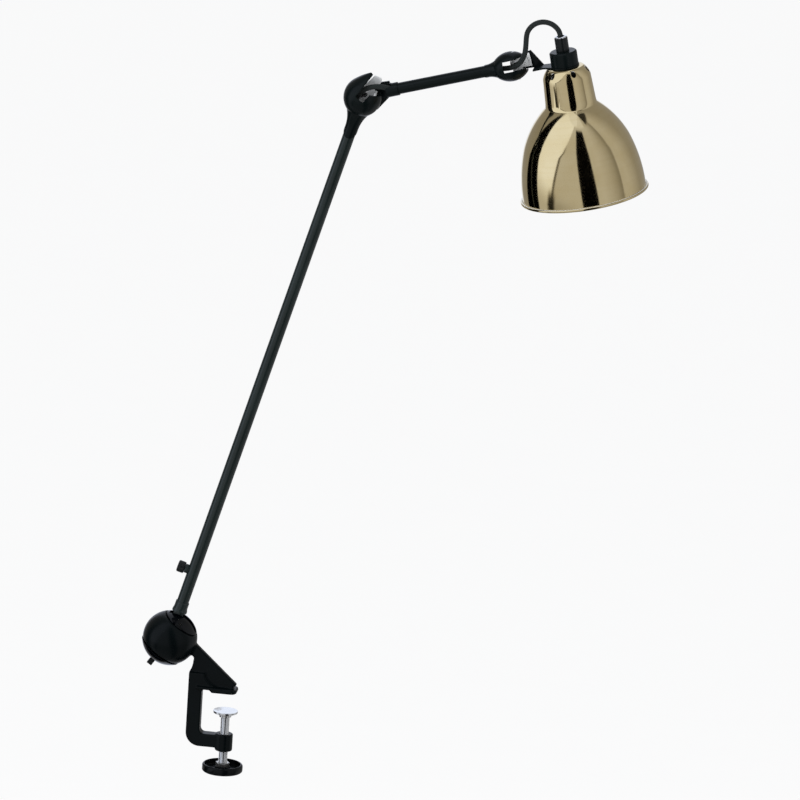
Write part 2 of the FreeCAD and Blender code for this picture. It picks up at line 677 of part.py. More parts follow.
def build_elbow():
    """Fork of the long arm, its swing pins, the folded stirrup and the cross screw with its nut."""
    body = fork(elbow_outline_shares, elbow_slot_shares, elbow_radius, sleeve_radius, elbow_stem,
                elbow_sleeve, bore_for(tube_radius), elbow_back_cut)
    folded = stirrup(elbow_web_half, elbow_web_back, elbow_flange_half,
                     share_points(elbow_strap_shares, elbow_radius))
    pieces = {"elbow_fork": body, "elbow_stirrup": folded.removeSplitter(),
              "elbow_swing_pins": swing_pins(elbow_radius, elbow_web_half),
              "elbow_bend_screw": cross_screw(elbow_web_back, elbow_screw_head),
              "elbow_bend_nut": cross_nut(elbow_web_back, elbow_screw_head + fork_wall)}
    return {name: placed(shape, elbow_frame) for name, shape in pieces.items()}


def build_short_arm():
    """Flap with its socket, short tube, head fork with pins and the flex inside the tube."""
    plate_low = elbow_web_back + face_gap
    plate_high = plate_low + plate_thickness
    socket_radius = short_tube_radius + socket_wall
    flap_end = socket_start + plate_thickness
    flap = disc_hull((0, 0), elbow_disc_radius,
                     [(flap_reach_share * elbow_radius, flap_width_share * elbow_radius),
                      (socket_radius, flap_end), (-socket_radius, flap_end)])
    body = plate(flap, plate_low, plate_high)
    step_top = socket_start + socket_length / 2
    step = side_plate(outline((0, socket_start), (plate_high, socket_start), (plate_high, flap_end),
                              (socket_radius, step_top), (0, step_top)),
                      -step_half_width, step_half_width)
    sleeve = upright(socket_radius, socket_start, socket_start + socket_length)
    body = body.fuse([sleeve, step])
    tube_end = short_arm_length - head_stem + head_sleeve
    body = body.cut(upright(bore_for(short_tube_radius), 0, tube_end))
    body = body.cut(rod(bore_for(bend_screw_radius), Vector(0, 0, 0), Vector(0, overrun, 0)))
    body = body.cut(rod(cord_bore_radius, Vector(*scoop_start), Vector(0, 0, scoop_depth)))
    tube = upright(short_tube_radius, short_tube_start, tube_end - seat_gap)
    tube = tube.cut(upright(short_tube_radius - tube_wall, 0, tube_end + overrun))
    flex = upright(cord_radius, short_flex_start, short_arm_length + head_flex_start)
    pieces = {"short_socket": body.removeSplitter(), "short_tube": tube, "cord_short_arm": flex}
    shapes = {name: placed(shape, short_frame) for name, shape in pieces.items()}
    head = fork(head_outline_shares, head_slot_shares, head_radius, short_sleeve_radius, head_stem,
                head_sleeve, bore_for(short_tube_radius), head_back_cut)
    head = head.cut(upright(overrun, head_tip, head_tip + overrun))
    shapes["head_fork"] = placed(head, head_frame)
    shapes["head_swing_pins"] = placed(swing_pins(head_radius, head_web_half), head_frame)
    return shapes


def build_head_stirrup():
    """Folded stirrup of the head joint with a slanted lip, its screw and its nut."""
    folded = stirrup(head_web_half, head_web_back, head_flange_half,
                     share_points(head_strap_shares, head_radius))
    fold, lip_end = (share * head_radius for share in head_lip_shares)
    side_low, side_high = (share * head_radius for share in (head_strap_shares[0][0], head_strap_shares[1][0]))
    web_front = head_web_back - sheet_thickness
    lip = side_plate(outline((web_front, fold - sheet_thickness), (head_web_back, fold - sheet_thickness),
                             (head_web_back, fold), (web_front, lip_end),
                             (web_front - sheet_thickness, lip_end - sheet_thickness / 2),
                             (web_front, fold)), side_low, side_high)
    pieces = {"head_stirrup": folded.fuse(lip).removeSplitter(),
              "head_tilt_screw": cross_screw(head_web_back, head_screw_head),
              "head_tilt_nut": cross_nut(head_web_back, head_screw_head + fork_wall)}
    return {name: placed(shape, head_frame) for name, shape in pieces.items()}


def shade_profile(inset):
    """Half section of the bell from the crown to the rim, moved inwards by the inset."""
    bell_height = shade_height - neck_height
    bell = [(bell_foot_radius * r - inset, bell_height * (z - 1) - neck_height)
            for r, z in bell_outline_shares]
    bow = crown_round * math.sqrt(0.5)
    shoulder_top = (crown_flat_radius, -inset)
    shoulder_low = (neck_top_radius - inset, -crown_round)
    shoulder_mid = (crown_flat_radius + bow - inset * math.sqrt(0.5), bow - crown_round - inset * math.sqrt(0.5))
    return outline((0, -inset), shoulder_top, (shoulder_mid, shoulder_low),
                   (neck_foot_radius - inset, -neck_height + neck_fillet),
                   (bell[0][0], bell[0][1]), (bell[1], bell[2]), (bell[3], bell[4]),
                   (bell[4][0], -shade_height - inset), (0, -shade_height - inset))


def build_head():
    """Bracket, collar, grip, spun shade, holder and bulb, on the axis of the shade."""
    pivot = local_point(shade_frame, (head_point[0], 0, head_point[1]))
    plate_low = head_web_back + face_gap
    plate_high = plate_low + plate_thickness
    ring_low = seat_gap
    ring_high = ring_low + sheet_thickness
    flap = plate(disc_hull((pivot.x, pivot.z), head_disc_radius,
                           [(pivot.x + bracket_left, ring_low), (pivot.x + bracket_right, ring_low),
                            (pivot.x + bracket_top[0], pivot.z + bracket_top[1])]), plate_low, plate_high)
    tongue_face = Part.Face(Part.makePolygon([Vector(x, y, ring_low) for x, y in (
        (pivot.x + bracket_left, -bracket_front), (pivot.x + bracket_left, plate_high),
        (pivot.x + bracket_right, plate_high), (0, ring_plate_radius * 0.75), (0, -ring_plate_radius * 0.75),
        (pivot.x + bracket_right, -bracket_front / 2), (pivot.x + bracket_left, -bracket_front))]))
    tongue = tongue_face.extrude(Vector(0, 0, sheet_thickness))
    bracket = flap.fuse([tongue, upright(ring_plate_radius, ring_low, ring_high)])
    bracket = bracket.cut(upright(holder_bore_radius + seat_gap, -overrun, overrun))
    hole_axis = Vector(pivot.x, 0, pivot.z)
    bracket = bracket.cut(rod(bore_for(bend_screw_radius), hole_axis, hole_axis + Vector(0, overrun, 0)))
    collar_low = ring_high + seat_gap
    collar_high = collar_low + collar_height
    edge = tube_wall
    collar = turned(outline((holder_bore_radius + seat_gap, collar_low), (collar_radius, collar_low),
                            (collar_radius, collar_high - edge), (collar_radius - edge, collar_high),
                            (holder_bore_radius + seat_gap, collar_high)))
    grip_low = collar_high + seat_gap
    grip_high = grip_low + grip_height
    grip = turned(outline((cord_radius + face_gap, grip_low), (grip_radius, grip_low),
                          (grip_radius, grip_high), (grip_bore_radius, grip_high),
                          (grip_bore_radius, grip_high - edge), (cord_radius + face_gap, grip_high - 2 * edge)))
    ring = turned(outline((grip_bore_radius, grip_high + seat_gap),
                          (grip_radius - edge / 2, grip_high + seat_gap),
                          (grip_radius - edge / 2, grip_high + grip_ring_height * 0.6),
                          ((grip_radius - edge, grip_high + grip_ring_height * 0.9),
                           (grip_radius - 1.4 * edge, grip_high + grip_ring_height)),
                          (grip_bore_radius, grip_high + grip_ring_height)))
    shade = turned(shade_profile(0)).cut(turned(shade_profile(shade_wall)))
    bead = Part.makeTorus(rim_radius - rim_bead_radius, rim_bead_radius,
                          Vector(0, 0, rim_bead_radius - shade_height))
    lip = turned(outline((bell_foot_radius - shade_wall, -shade_height + rim_bead_radius - shade_wall / 2),
                         (rim_radius - rim_bead_radius, -shade_height + rim_bead_radius - shade_wall / 2),
                         (rim_radius - rim_bead_radius, -shade_height + rim_bead_radius + shade_wall / 2),
                         (bell_foot_radius - shade_wall, -shade_height + rim_bead_radius + shade_wall / 2)))
    shade = shade.common(upright(2 * rim_radius, rim_bead_radius - shade_height, overrun))
    shade = shade.fuse([bead, lip]).removeSplitter()
    shade = shade.cut(upright(holder_bore_radius + seat_gap, -overrun, overrun))
    bow = crown_round * math.sqrt(0.5)
    vent_out = math.radians(45)
    for index in range(vent_count):
        turn = math.radians(360 * (index + 0.5) / vent_count)
        radial = Vector(math.sin(turn), -math.cos(turn), 0)
        point = radial * (crown_flat_radius + bow) + Vector(0, 0, bow - crown_round)
        away = radial * math.sin(vent_out) + Vector(0, 0, math.cos(vent_out))
        shade = shade.cut(rod(vent_radius, point - away * (2 * shade_wall), point + away * crown_round))
    holder_top = -shade_wall - shade_ring_height / 2
    holder_low = holder_top - holder_length
    pipe_top = collar_high - edge
    holder = turned(outline((cord_radius + face_gap, pipe_top), (holder_bore_radius, pipe_top),
                            (holder_bore_radius, holder_top), (holder_radius, holder_top),
                            (holder_radius, holder_low), (bulb_cap_radius + face_gap, holder_low),
                            (bulb_cap_radius + face_gap, holder_low + bulb_cap_length + fork_wall),
                            (cord_radius + face_gap, holder_low + bulb_cap_length + fork_wall)))
    shade_ring = turned(outline((holder_radius + seat_gap, -shade_wall - seat_gap),
                                (shade_ring_radius, -shade_wall - seat_gap),
                                (shade_ring_radius, -shade_wall - shade_ring_height / 2),
                                (holder_radius + fork_wall, -shade_wall - shade_ring_height),
                                (holder_radius + seat_gap, -shade_wall - shade_ring_height)))
    glass_top = holder_low - seat_gap
    globe = glass_top - bulb_length + bulb_radius
    neck_meet = math.sqrt(bulb_radius ** 2 - bulb_neck_radius ** 2)
    glass = turned(outline((0, glass_top), (bulb_neck_radius, glass_top),
                           (bulb_neck_radius, globe + neck_meet),
                           ((bulb_radius, globe), (0, globe - bulb_radius))))
    cap = upright(bulb_cap_radius, glass_top + seat_gap / 2, glass_top + bulb_cap_length)
    cap = cap.fuse(upright(bulb_cap_radius / 3, glass_top, glass_top + bulb_cap_length + fork_wall / 2))
    pieces = {"head_bracket": bracket.removeSplitter(), "holder_collar": collar, "cord_grip": grip,
              "grip_ring": ring, "shade": shade, "lampholder": holder, "shade_ring": shade_ring,
              "bulb_glass": glass, "bulb_cap": cap.removeSplitter()}
    return {name: placed(shape, shade_frame) for name, shape in pieces.items()}


def build_cords():
    """Free stretches of the flex: past the elbow, and the loop from the short arm to the grip."""
    shapes = {}
    for name, route in (("cord_elbow_lower", elbow_lower_route), ("cord_elbow_upper", elbow_upper_route)):
        world = [elbow_frame.multVec(Vector(side, depth, height)) for side, depth, height in route]
        shapes[name] = tube_along(world, cord_radius)
    for name, route in (("cord_loop_lower", loop_lower_route), ("cord_loop_upper", loop_upper_route)):
        shapes[name] = tube_along(route, cord_radius)
    return shapes


def main():
    """Build every piece and write it under its own name."""
    shapes = {"clamp_frame": build_clamp()}
    for build in (build_screw_group, build_ball, build_long_arm, build_elbow, build_short_arm,
                  build_head_stirrup, build_head, build_cords):
        shapes.update(build())
    for name, shape in shapes.items():
        solids = shape.Solids
        if not shape.isValid() or len(solids) != (2 if name.endswith("_pins") else 1):
            print("check", name, shape.isValid(), len(solids))
        shape.exportStep("parts/%s.step" % name)
    print("%d pieces written" % len(shapes))


main()
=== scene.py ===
"""Blender scene of a clip-on desk lamp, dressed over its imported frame.

Lengths are in metres, in the frame of the lamp: +Z up, +X along the jaw, +Y away from the front view.
"""

import logging
import math
from dataclasses import dataclass
from enum import Enum
from typing import Callable

import bmesh
import bpy
import numpy as np
from mathutils import Matrix, Vector


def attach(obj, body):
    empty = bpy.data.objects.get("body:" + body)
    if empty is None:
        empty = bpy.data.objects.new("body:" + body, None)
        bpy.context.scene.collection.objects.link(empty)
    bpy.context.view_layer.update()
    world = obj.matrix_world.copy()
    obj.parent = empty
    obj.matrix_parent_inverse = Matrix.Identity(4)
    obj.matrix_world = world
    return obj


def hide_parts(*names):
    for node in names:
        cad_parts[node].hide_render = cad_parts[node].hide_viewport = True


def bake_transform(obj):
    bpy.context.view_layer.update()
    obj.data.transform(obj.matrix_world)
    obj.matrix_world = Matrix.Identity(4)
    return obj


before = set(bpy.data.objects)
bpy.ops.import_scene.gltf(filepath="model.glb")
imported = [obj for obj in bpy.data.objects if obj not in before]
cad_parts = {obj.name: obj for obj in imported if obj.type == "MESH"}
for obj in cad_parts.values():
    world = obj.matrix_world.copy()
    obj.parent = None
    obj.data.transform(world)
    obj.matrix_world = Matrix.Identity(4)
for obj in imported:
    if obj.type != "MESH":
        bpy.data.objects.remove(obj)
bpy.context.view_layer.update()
log = logging.getLogger("desk_lamp")

MM = 0.001
EDGE_DEG = 30.0          # faces that turn more than this meet in an edge
FLAT_DEG = 0.4           # faces that turn less than this lie in one plane
MERGE_DISTANCE = 2e-6    # points closer than this are one, in metres


# Places

@dataclass(frozen=True)
class Place:
    """Local frame in the middle plane: its height axis leans towards +X by tilt degrees.

    Local points are (side, depth, height), in millimetres.
    """

    x: float
    z: float
    tilt: float

    def world(self, local: np.ndarray) -> np.ndarray:
        """Turn and move local points.

        Args:
            local: array of points, last axis of 3, in millimetres.

        Returns:
            The points in the frame of the lamp, in metres.
        """
        angle = math.radians(self.tilt)
        points = np.asarray(local, float)
        side, depth, height = points[..., 0], points[..., 1], points[..., 2]
        return MM * np.stack([self.x + side * math.cos(angle) + height * math.sin(angle), depth,
                              self.z - side * math.sin(angle) + height * math.cos(angle)], axis=-1)

    def local(self, world: np.ndarray) -> np.ndarray:
        """Turn world points in metres back to local points in millimetres.

        Args:
            world: array of points, last axis of 3, in metres.

        Returns:
            The points as (side, depth, height).
        """
        angle = math.radians(self.tilt)
        points = np.asarray(world, float) / MM
        across, up = points[..., 0] - self.x, points[..., 2] - self.z
        return np.stack([across * math.cos(angle) - up * math.sin(angle), points[..., 1],
                         across * math.sin(angle) + up * math.cos(angle)], axis=-1)

    def along(self, distance: float, tilt: float) -> "Place":
        """Place at a distance up this height axis, with another tilt."""
        angle = math.radians(self.tilt)
        return Place(self.x + distance * math.sin(angle), self.z + distance * math.cos(angle), tilt)


LONG_REACH, SHORT_REACH = 655.0, 172.0    # from joint to joint, in millimetres
LONG_TILT, SHORT_TILT = 15.6, 72.8        # from upright, in degrees

BALL = Place(-65.0, 55.0, 34.0)
LONG_ARM = Place(BALL.x, BALL.z, LONG_TILT)
ELBOW = LONG_ARM.along(LONG_REACH, LONG_TILT)
SHORT_ARM = LONG_ARM.along(LONG_REACH, SHORT_TILT)
HEAD = SHORT_ARM.along(SHORT_REACH, SHORT_TILT)
SHADE = Place(HEAD.x + 53.9, HEAD.z + 4.4, -11.7)
LAMP = Place(0.0, 0.0, 0.0)


# Surfaces

def surface(name: str, points: np.ndarray, uv_size: tuple = (1.0, 1.0)) -> bpy.types.Object:
    """Mesh over a grid of points whose columns close into a ring.

    Each face joins two neighbours of one row with the same two of the next row. Rows of equal points close
    a pole, and the doubles there are merged before the normals are turned outwards.

    Args:
        name: name of the piece.
        points: array of rows by columns by 3, in metres.
        uv_size: how far the map runs round the ring and along the rows.

    Returns:
        The new object, with one UV map.
    """
    rows, columns = points.shape[:2]
    index = np.arange(rows * columns).reshape(rows, columns)
    here, after = index[:-1], index[1:]
    quads = np.stack([here, np.roll(here, -1, axis=1), np.roll(after, -1, axis=1), after], axis=-1)
    mesh = bpy.data.meshes.new(name)
    mesh.from_pydata(points.reshape(-1, 3), [], quads.reshape(-1, 4).tolist())
    row, column = np.meshgrid(np.arange(rows - 1), np.arange(columns), indexing="ij")
    corner_u = np.stack([column, column + 1, column + 1, column], axis=-1) * uv_size[0] / columns
    corner_v = np.stack([row, row, row + 1, row + 1], axis=-1) * uv_size[1] / (rows - 1)
    layer = mesh.uv_layers.new(name="wrap")
    layer.data.foreach_set("uv", np.stack([corner_u, corner_v], axis=-1).reshape(-1).astype(np.float32))
    return solid_object(name, mesh)


def solid_object(name: str, mesh: bpy.types.Mesh, sharp_deg: float = EDGE_DEG,
                 outward: bool = True) -> bpy.types.Object:
    """Link a mesh as a smooth piece with its doubles merged.

    Args:
        name: name of the piece.
        mesh: the mesh to use.
        sharp_deg: edges that turn more than this stay sharp.
        outward: whether the normals are recalculated.

    Returns:
        The new object, at the origin.
    """
    work = bmesh.new()
    work.from_mesh(mesh)
    bmesh.ops.remove_doubles(work, verts=work.verts, dist=MERGE_DISTANCE)
    if outward:
        bmesh.ops.recalc_face_normals(work, faces=work.faces)
    work.to_mesh(mesh)
    work.free()
    mesh.polygons.foreach_set("use_smooth", np.ones(len(mesh.polygons), dtype=bool))
    mesh.set_sharp_from_angle(angle=math.radians(sharp_deg))
    piece = bpy.data.objects.new(name, mesh)
    bpy.context.collection.objects.link(piece)
    return piece


def ring(columns: int) -> np.ndarray:
    """Angles of the columns of a ring, in radians."""
    return np.arange(columns) * 2 * math.pi / columns


# Finishes

Input = bpy.types.NodeSocket | float | tuple | list    # what a socket can be linked or set to


class Nodes:
    """Node tree that shader nodes are added to."""

    def __init__(self, tree: bpy.types.NodeTree) -> None:
        """Keep the tree."""
        self.tree = tree

    def put(self, socket: bpy.types.NodeSocket, value: Input) -> None:
        """Link a socket to another one, or set its value.

        Args:
            socket: the socket to link or set.
            value: what it gets. A colour of three numbers gets an alpha of 1.
        """
        if isinstance(value, bpy.types.NodeSocket):
            self.tree.links.new(value, socket)
        elif socket.type == "RGBA" and len(value) == 3:
            socket.default_value = (*value, 1.0)
        else:
            socket.default_value = value

    def add(self, kind: str, inputs: dict | None = None, **settings: str) -> bpy.types.Node:
        """Add a node, set its properties, and set or link its inputs.

        Args:
            kind: the node's type name without the ShaderNode prefix.
            inputs: socket to a value, or to another node's socket.
            settings: properties of the node.

        Returns:
            The new node.
        """
        node = self.tree.nodes.new("ShaderNode" + kind)
        for key, value in settings.items():
            setattr(node, key, value)
        for key, value in (inputs or {}).items():
            self.put(node.inputs[key], value)
        return node

    def math(self, operation: str, *values: Input) -> bpy.types.NodeSocket:
        """Arithmetic on sockets or numbers."""
        return self.add("Math", dict(enumerate(values)), operation=operation).outputs[0]

    def rest(self, share: Input) -> bpy.types.NodeSocket:
        """What is left of one when the share is taken away."""
        return self.math("SUBTRACT", 1.0, share)

    def smooth(self, value: bpy.types.NodeSocket, low: float, high: float) -> bpy.types.NodeSocket:
        """Smooth step of a value, from 0 at low to 1 at high."""
        return self.add("MapRange", {"Value": value, "From Min": low, "From Max": high},
                        interpolation_type="SMOOTHSTEP").outputs["Result"]

    def blend(self, share: Input, first: Input, second: Input,
              mode: str = "MIX") -> bpy.types.NodeSocket:
        """Mix two colours."""
        return self.add("Mix", {0: share, 6: first, 7: second}, data_type="RGBA", blend_type=mode).outputs[2]


class Sheet(Nodes):
    """Node tree of one material, with its principled shader."""

    def __init__(self, name: str) -> None:
        """Make a material with the shader and the output that a new tree has.

        Args:
            name: name of the material.
        """
        self.material = bpy.data.materials.new(name)
        self.material.use_nodes = True
        super().__init__(self.material.node_tree)
        self.shader = self.tree.nodes["Principled BSDF"]

    def place(self) -> bpy.types.NodeSocket:
        """Position in the frame of the lamp."""
        return self.add("TexCoord").outputs["Object"]

    def noise(self, vector: bpy.types.NodeSocket, cell_mm: float, detail: float = 3.0) -> bpy.types.NodeSocket:
        """Noise with cells of that size."""
        inputs = {"Vector": vector, "Scale": 1.0 / MM / cell_mm, "Detail": detail}
        return self.add("TexNoise", inputs).outputs["Fac"]

    def lines(self, along: bpy.types.NodeSocket, scale: float, detail: float) -> bpy.types.NodeSocket:
        """Noise of one dimension."""
        inputs = {"W": along, "Scale": scale, "Detail": detail}
        return self.add("TexNoise", inputs, noise_dimensions="1D").outputs["Fac"]

    def ramp(self, value: bpy.types.NodeSocket, low: float, high: float, first: float | tuple,
             last: float | tuple) -> bpy.types.NodeSocket:
        """Value turned into a number or a colour.

        Args:
            value: the value.
            low: value that gives the first number or colour, as any lower one does.
            high: value that gives the last one, as any higher one does.
            first: number or colour.
            last: number or colour.

        Returns:
            The number or the colour.
        """
        if hasattr(first, "__len__"):
            node = self.add("ValToRGB", {"Fac": value})
            for stop, place, shade in zip(node.color_ramp.elements, (low, high), (first, last)):
                stop.position, stop.color = place, (*shade, 1.0)
            return node.outputs["Color"]
        inputs = {"Value": value, "From Min": low, "From Max": high, "To Min": first, "To Max": last}
        return self.add("MapRange", inputs).outputs["Result"]

    def vector(self, operation: str, *values: Input, output: str = "Vector") -> bpy.types.NodeSocket:
        """Arithmetic on vectors."""
        return self.add("VectorMath", dict(enumerate(values)), operation=operation).outputs[output]

    def bump(self, height: bpy.types.NodeSocket, depth_mm: float) -> bpy.types.NodeSocket:
        """Normal that a height of that depth gives."""
        inputs = {"Height": height, "Distance": depth_mm * MM, "Strength": 1.0}
        return self.add("Bump", inputs).outputs["Normal"]

    def set(self, **inputs: Input) -> bpy.types.Material:
        """Set or link the shader's sockets.

        Args:
            inputs: what each socket gets, by its name with underscores for spaces.

        Returns:
            The material.
        """
        for key, value in inputs.items():
            self.put(self.shader.inputs[key.replace("_", " ")], value)
        return self.material


@dataclass(frozen=True)
class Enamel:
    """Stoved enamel on metal: a dark coat with fine orange peel, dull patches and dust."""

    name: str
    colour: tuple
    roughness: float
    peel_mm: float
    peel_depth_mm: float
    shine: float
    dust: float = 0.3

    def build(self) -> bpy.types.Material:
        """Noise at three sizes drives the colour, the gloss and the relief.

        Returns:
            The material.
        """
        sheet = Sheet(self.name)
        place = sheet.place()
        patches = sheet.noise(place, 38.0, 4.0)
        specks = sheet.noise(place, 1.1, 2.0)
        lighter = tuple(1.5 * c for c in self.colour)
        colour = sheet.ramp(patches, 0.35, 0.72, self.colour, lighter)
        speck = sheet.ramp(specks, 0.68, 0.82, (0.0, 0.0, 0.0), (0.02, 0.02, 0.019))
        colour = sheet.blend(self.dust, colour, speck, "ADD")
        gloss = sheet.ramp(patches, 0.3, 0.75, self.roughness - 0.03, self.roughness + 0.07)
        peel = sheet.bump(sheet.noise(place, self.peel_mm, 2.0), self.peel_depth_mm)
        return sheet.set(Base_Color=colour, Roughness=gloss, Normal=peel, Specular_IOR_Level=self.shine)


@dataclass(frozen=True)
class BrightMetal:
    """Plated steel with faint drawn scratches and dull finger marks."""

    name: str
    colour: tuple
    roughness: float
    scratch: tuple
    metallic: float = 1.0

    def build(self) -> bpy.types.Material:
        """Noise stretched along one direction is the scratches, and a large soft noise the marks.

        Returns:
            The material.
        """
        sheet = Sheet(self.name)
        place = sheet.place()
        drawn = sheet.add("Mapping", {"Vector": place, "Scale": self.scratch}).outputs[0]
        streaks = sheet.noise(drawn, 1.0, 3.0)
        marks = sheet.noise(place, 9.0, 3.0)
        colour = sheet.ramp(marks, 0.3, 0.75, tuple(0.88 * c for c in self.colour), self.colour)
        gloss = sheet.math("ADD", sheet.ramp(marks, 0.35, 0.7, self.roughness, self.roughness + 0.12),
                           sheet.ramp(streaks, 0.4, 0.7, 0.0, 0.06))
        return sheet.set(Base_Color=colour, Metallic=self.metallic, Roughness=gloss, Normal=sheet.bump(streaks, 0.01))


@dataclass(frozen=True)
class Resin:
    """Moulded black resin: nearly smooth, a little dull, with fine flow marks."""

    name: str
    colour: tuple
    roughness: float
    shine: float

    def build(self) -> bpy.types.Material:
        """Two sizes of noise vary the gloss and the relief.

        Returns:
            The material.
        """
        sheet = Sheet(self.name)
        place = sheet.place()
        flow = sheet.noise(place, 14.0, 5.0)
        colour = sheet.ramp(flow, 0.35, 0.7, self.colour, tuple(1.6 * c for c in self.colour))
        gloss = sheet.ramp(flow, 0.3, 0.7, self.roughness, self.roughness + 0.12)
        return sheet.set(Base_Color=colour, Roughness=gloss,
                         Normal=sheet.bump(sheet.noise(place, 0.8, 2.0), 0.012), Specular_IOR_Level=self.shine)


@dataclass(frozen=True)
class SpunBrass:
    """Lacquered spun brass with turning lines round the shade, and white enamel inside."""

    name: str
    pale: tuple
    deep: tuple
    white: tuple
    roughness: float
    centre_height: float = -75.0
    inside_below: float = -0.3
    radius_share: float = 0.8
    inside_dullness: float = 0.25

    def build(self) -> bpy.types.Material:
        """The side is told from the inside by the normal against the line from a point inside the bell.

        Turning lines are a one-dimensional noise along the height and the radius of the shade.

        Returns:
            The material.
        """
        sheet = Sheet(self.name)
        coordinates = sheet.add("TexCoord")
        place, normal = coordinates.outputs["Object"], coordinates.outputs["Normal"]
        centre = SHADE.world(np.array([0.0, 0.0, self.centre_height])).tolist()
        top = SHADE.world(np.array([0.0, 0.0, 0.0])).tolist()
        away = sheet.vector("NORMALIZE", sheet.vector("SUBTRACT", place, centre))
        outward = sheet.vector("DOT_PRODUCT", away, normal, output="Value")
        outside = sheet.math("GREATER_THAN", outward, self.inside_below)
        lean = (0.0, math.radians(SHADE.tilt), 0.0)
        local = sheet.add("Mapping", {"Vector": place, "Location": top, "Rotation": lean},
                          vector_type="TEXTURE").outputs[0]
        axis = sheet.add("SeparateXYZ", {"Vector": local})
        radius = sheet.math("SQRT", sheet.math("ADD", sheet.math("POWER", axis.outputs[0], 2.0),
                                               sheet.math("POWER", axis.outputs[1], 2.0)))
        line = sheet.math("SUBTRACT", sheet.math("MULTIPLY", radius, self.radius_share), axis.outputs[2])
        turning, broad = sheet.lines(line, 1500.0, 4.0), sheet.lines(line, 170.0, 2.0)
        tarnish = sheet.noise(place, 30.0, 5.0)
        metal = sheet.ramp(tarnish, 0.35, 0.72, self.pale, self.deep)
        metal = sheet.blend(sheet.ramp(broad, 0.45, 0.75, 0.0, 0.35), metal, self.deep)
        colour = sheet.blend(outside, self.white, metal)
        gloss = sheet.math("ADD", sheet.ramp(tarnish, 0.3, 0.75, self.roughness, self.roughness + 0.04),
                           sheet.ramp(turning, 0.4, 0.7, 0.0, 0.03))
        gloss = sheet.math("ADD", gloss, sheet.math("MULTIPLY", sheet.rest(outside), self.inside_dullness))
        return sheet.set(Base_Color=colour, Metallic=outside, Roughness=gloss, Normal=sheet.bump(turning, 0.005))


@dataclass(frozen=True)
class Braid:
    """Black cotton braid: dull, with a faint sheen and paler worn crests."""

    name: str
    colour: tuple
    worn: tuple
    strands: int = 8

    def build(self) -> bpy.types.Material:
        """Crossing diagonals of the map show the strands that lie on top, and noise the fuzz.

        A strand's height is the size of the cosine of half its turn, for the set that is above.

        Returns:
            The material.
        """
        sheet = Sheet(self.name)
        wrap = sheet.add("UVMap", uv_map="wrap").outputs["UV"]
        axis = sheet.add("SeparateXYZ", {"Vector": wrap})
        turns = math.pi * self.strands
        left, right = (
            sheet.math("COSINE", sheet.math("MULTIPLY", sheet.math(way, axis.outputs[0], axis.outputs[1]), turns))
            for way in ("ADD", "SUBTRACT"))
        above = sheet.math("GREATER_THAN", sheet.math("MULTIPLY", left, right), 0.0)
        left, right = sheet.math("ABSOLUTE", left), sheet.math("ABSOLUTE", right)
        strand = sheet.math("ADD", sheet.math("MULTIPLY", above, left),
                            sheet.math("MULTIPLY", sheet.rest(above), right))
        fuzz = sheet.noise(sheet.place(), 0.5, 4.0)
        height = sheet.math("ADD", sheet.math("MULTIPLY", strand, 0.7), sheet.math("MULTIPLY", fuzz, 0.5))
        colour = sheet.ramp(height, 0.45, 0.95, self.colour, self.worn)
        return sheet.set(Base_Color=colour, Roughness=0.85, Normal=sheet.bump(height, 0.2),
                         Sheen_Weight=0.08, Sheen_Roughness=0.5, Specular_IOR_Level=0.3)


@dataclass(frozen=True)
class OpalGlass:
    """Opal glass of the bulb, faintly mottled."""

    name: str
    colour: tuple

    def build(self) -> bpy.types.Material:
        """Noise varies the white and the gloss.

        Returns:
            The material.
        """
        sheet = Sheet(self.name)
        mottle = sheet.noise(sheet.place(), 12.0, 3.0)
        return sheet.set(Base_Color=sheet.ramp(mottle, 0.3, 0.7, tuple(0.93 * c for c in self.colour), self.colour),
                         Roughness=sheet.ramp(mottle, 0.3, 0.7, 0.16, 0.26), Transmission_Weight=0.25, IOR=1.48)


class Finish(Enum):
    """Finishes of the lamp, each with its record slot."""

    SATIN = ("satin_black", Enamel("satin black enamel", (0.0055, 0.0105, 0.0100), 0.30, 0.9, 0.010, 0.46))
    # Darker copy of the satin enamel for the forks, flap, short tube, bracket and collar: painted shade.
    DEEP_PAINTED_SHADE = ("satin_black", Enamel("satin black enamel with painted shade", (0.0022, 0.0040, 0.0042), 0.24, 0.9, 0.008, 0.13))
    GLOSS = ("gloss_black", Enamel("gloss black enamel", (0.0006, 0.0010, 0.0016), 0.10, 2.4, 0.006, 0.19))
    CAST = ("cast_black", Enamel("cast black enamel", (0.0012, 0.0024, 0.0028), 0.25, 1.6, 0.040, 0.11))
    CHROME = ("plated", BrightMetal("bright plate", (0.86, 0.87, 0.88), 0.09, (900.0, 900.0, 60.0)))
    ZINC = ("zinc", BrightMetal("zinc plate", (0.62, 0.62, 0.60), 0.30, (700.0, 90.0, 700.0)))
    RESIN = ("black_resin", Resin("black resin", (0.0030, 0.0042, 0.0044), 0.26, 0.35))
    # Darker copy of the black resin for the handwheel: painted shade.
    WHEEL_PAINTED_SHADE = ("black_resin", Resin("black resin with painted shade", (0.0012, 0.0018, 0.0022), 0.16, 0.14))
    BURNISHED = ("cast_black", Resin("burnished steel", (0.004, 0.005, 0.005), 0.30, 0.2))
    # Nearly white and hardly metallic, so that the stirrups look bright inside the forks: painted reflection.
    NICKEL_PAINTED_REFLECTION = ("plated", BrightMetal("nickel with painted reflection", (0.97, 0.98, 0.98), 0.34, (400.0, 400.0, 60.0), 0.05))
    BRASS = ("spun_brass", SpunBrass("spun brass", (0.74, 0.615, 0.36), (0.68, 0.545, 0.29), (0.80, 0.80, 0.78), 0.05))
    BRAID = ("braid", Braid("black braid", (0.0030, 0.0046, 0.0046), (0.024, 0.030, 0.029)))
    OPAL = ("clear_glass", OpalGlass("opal glass", (0.90, 0.90, 0.87)))


MATERIALS: dict = {}


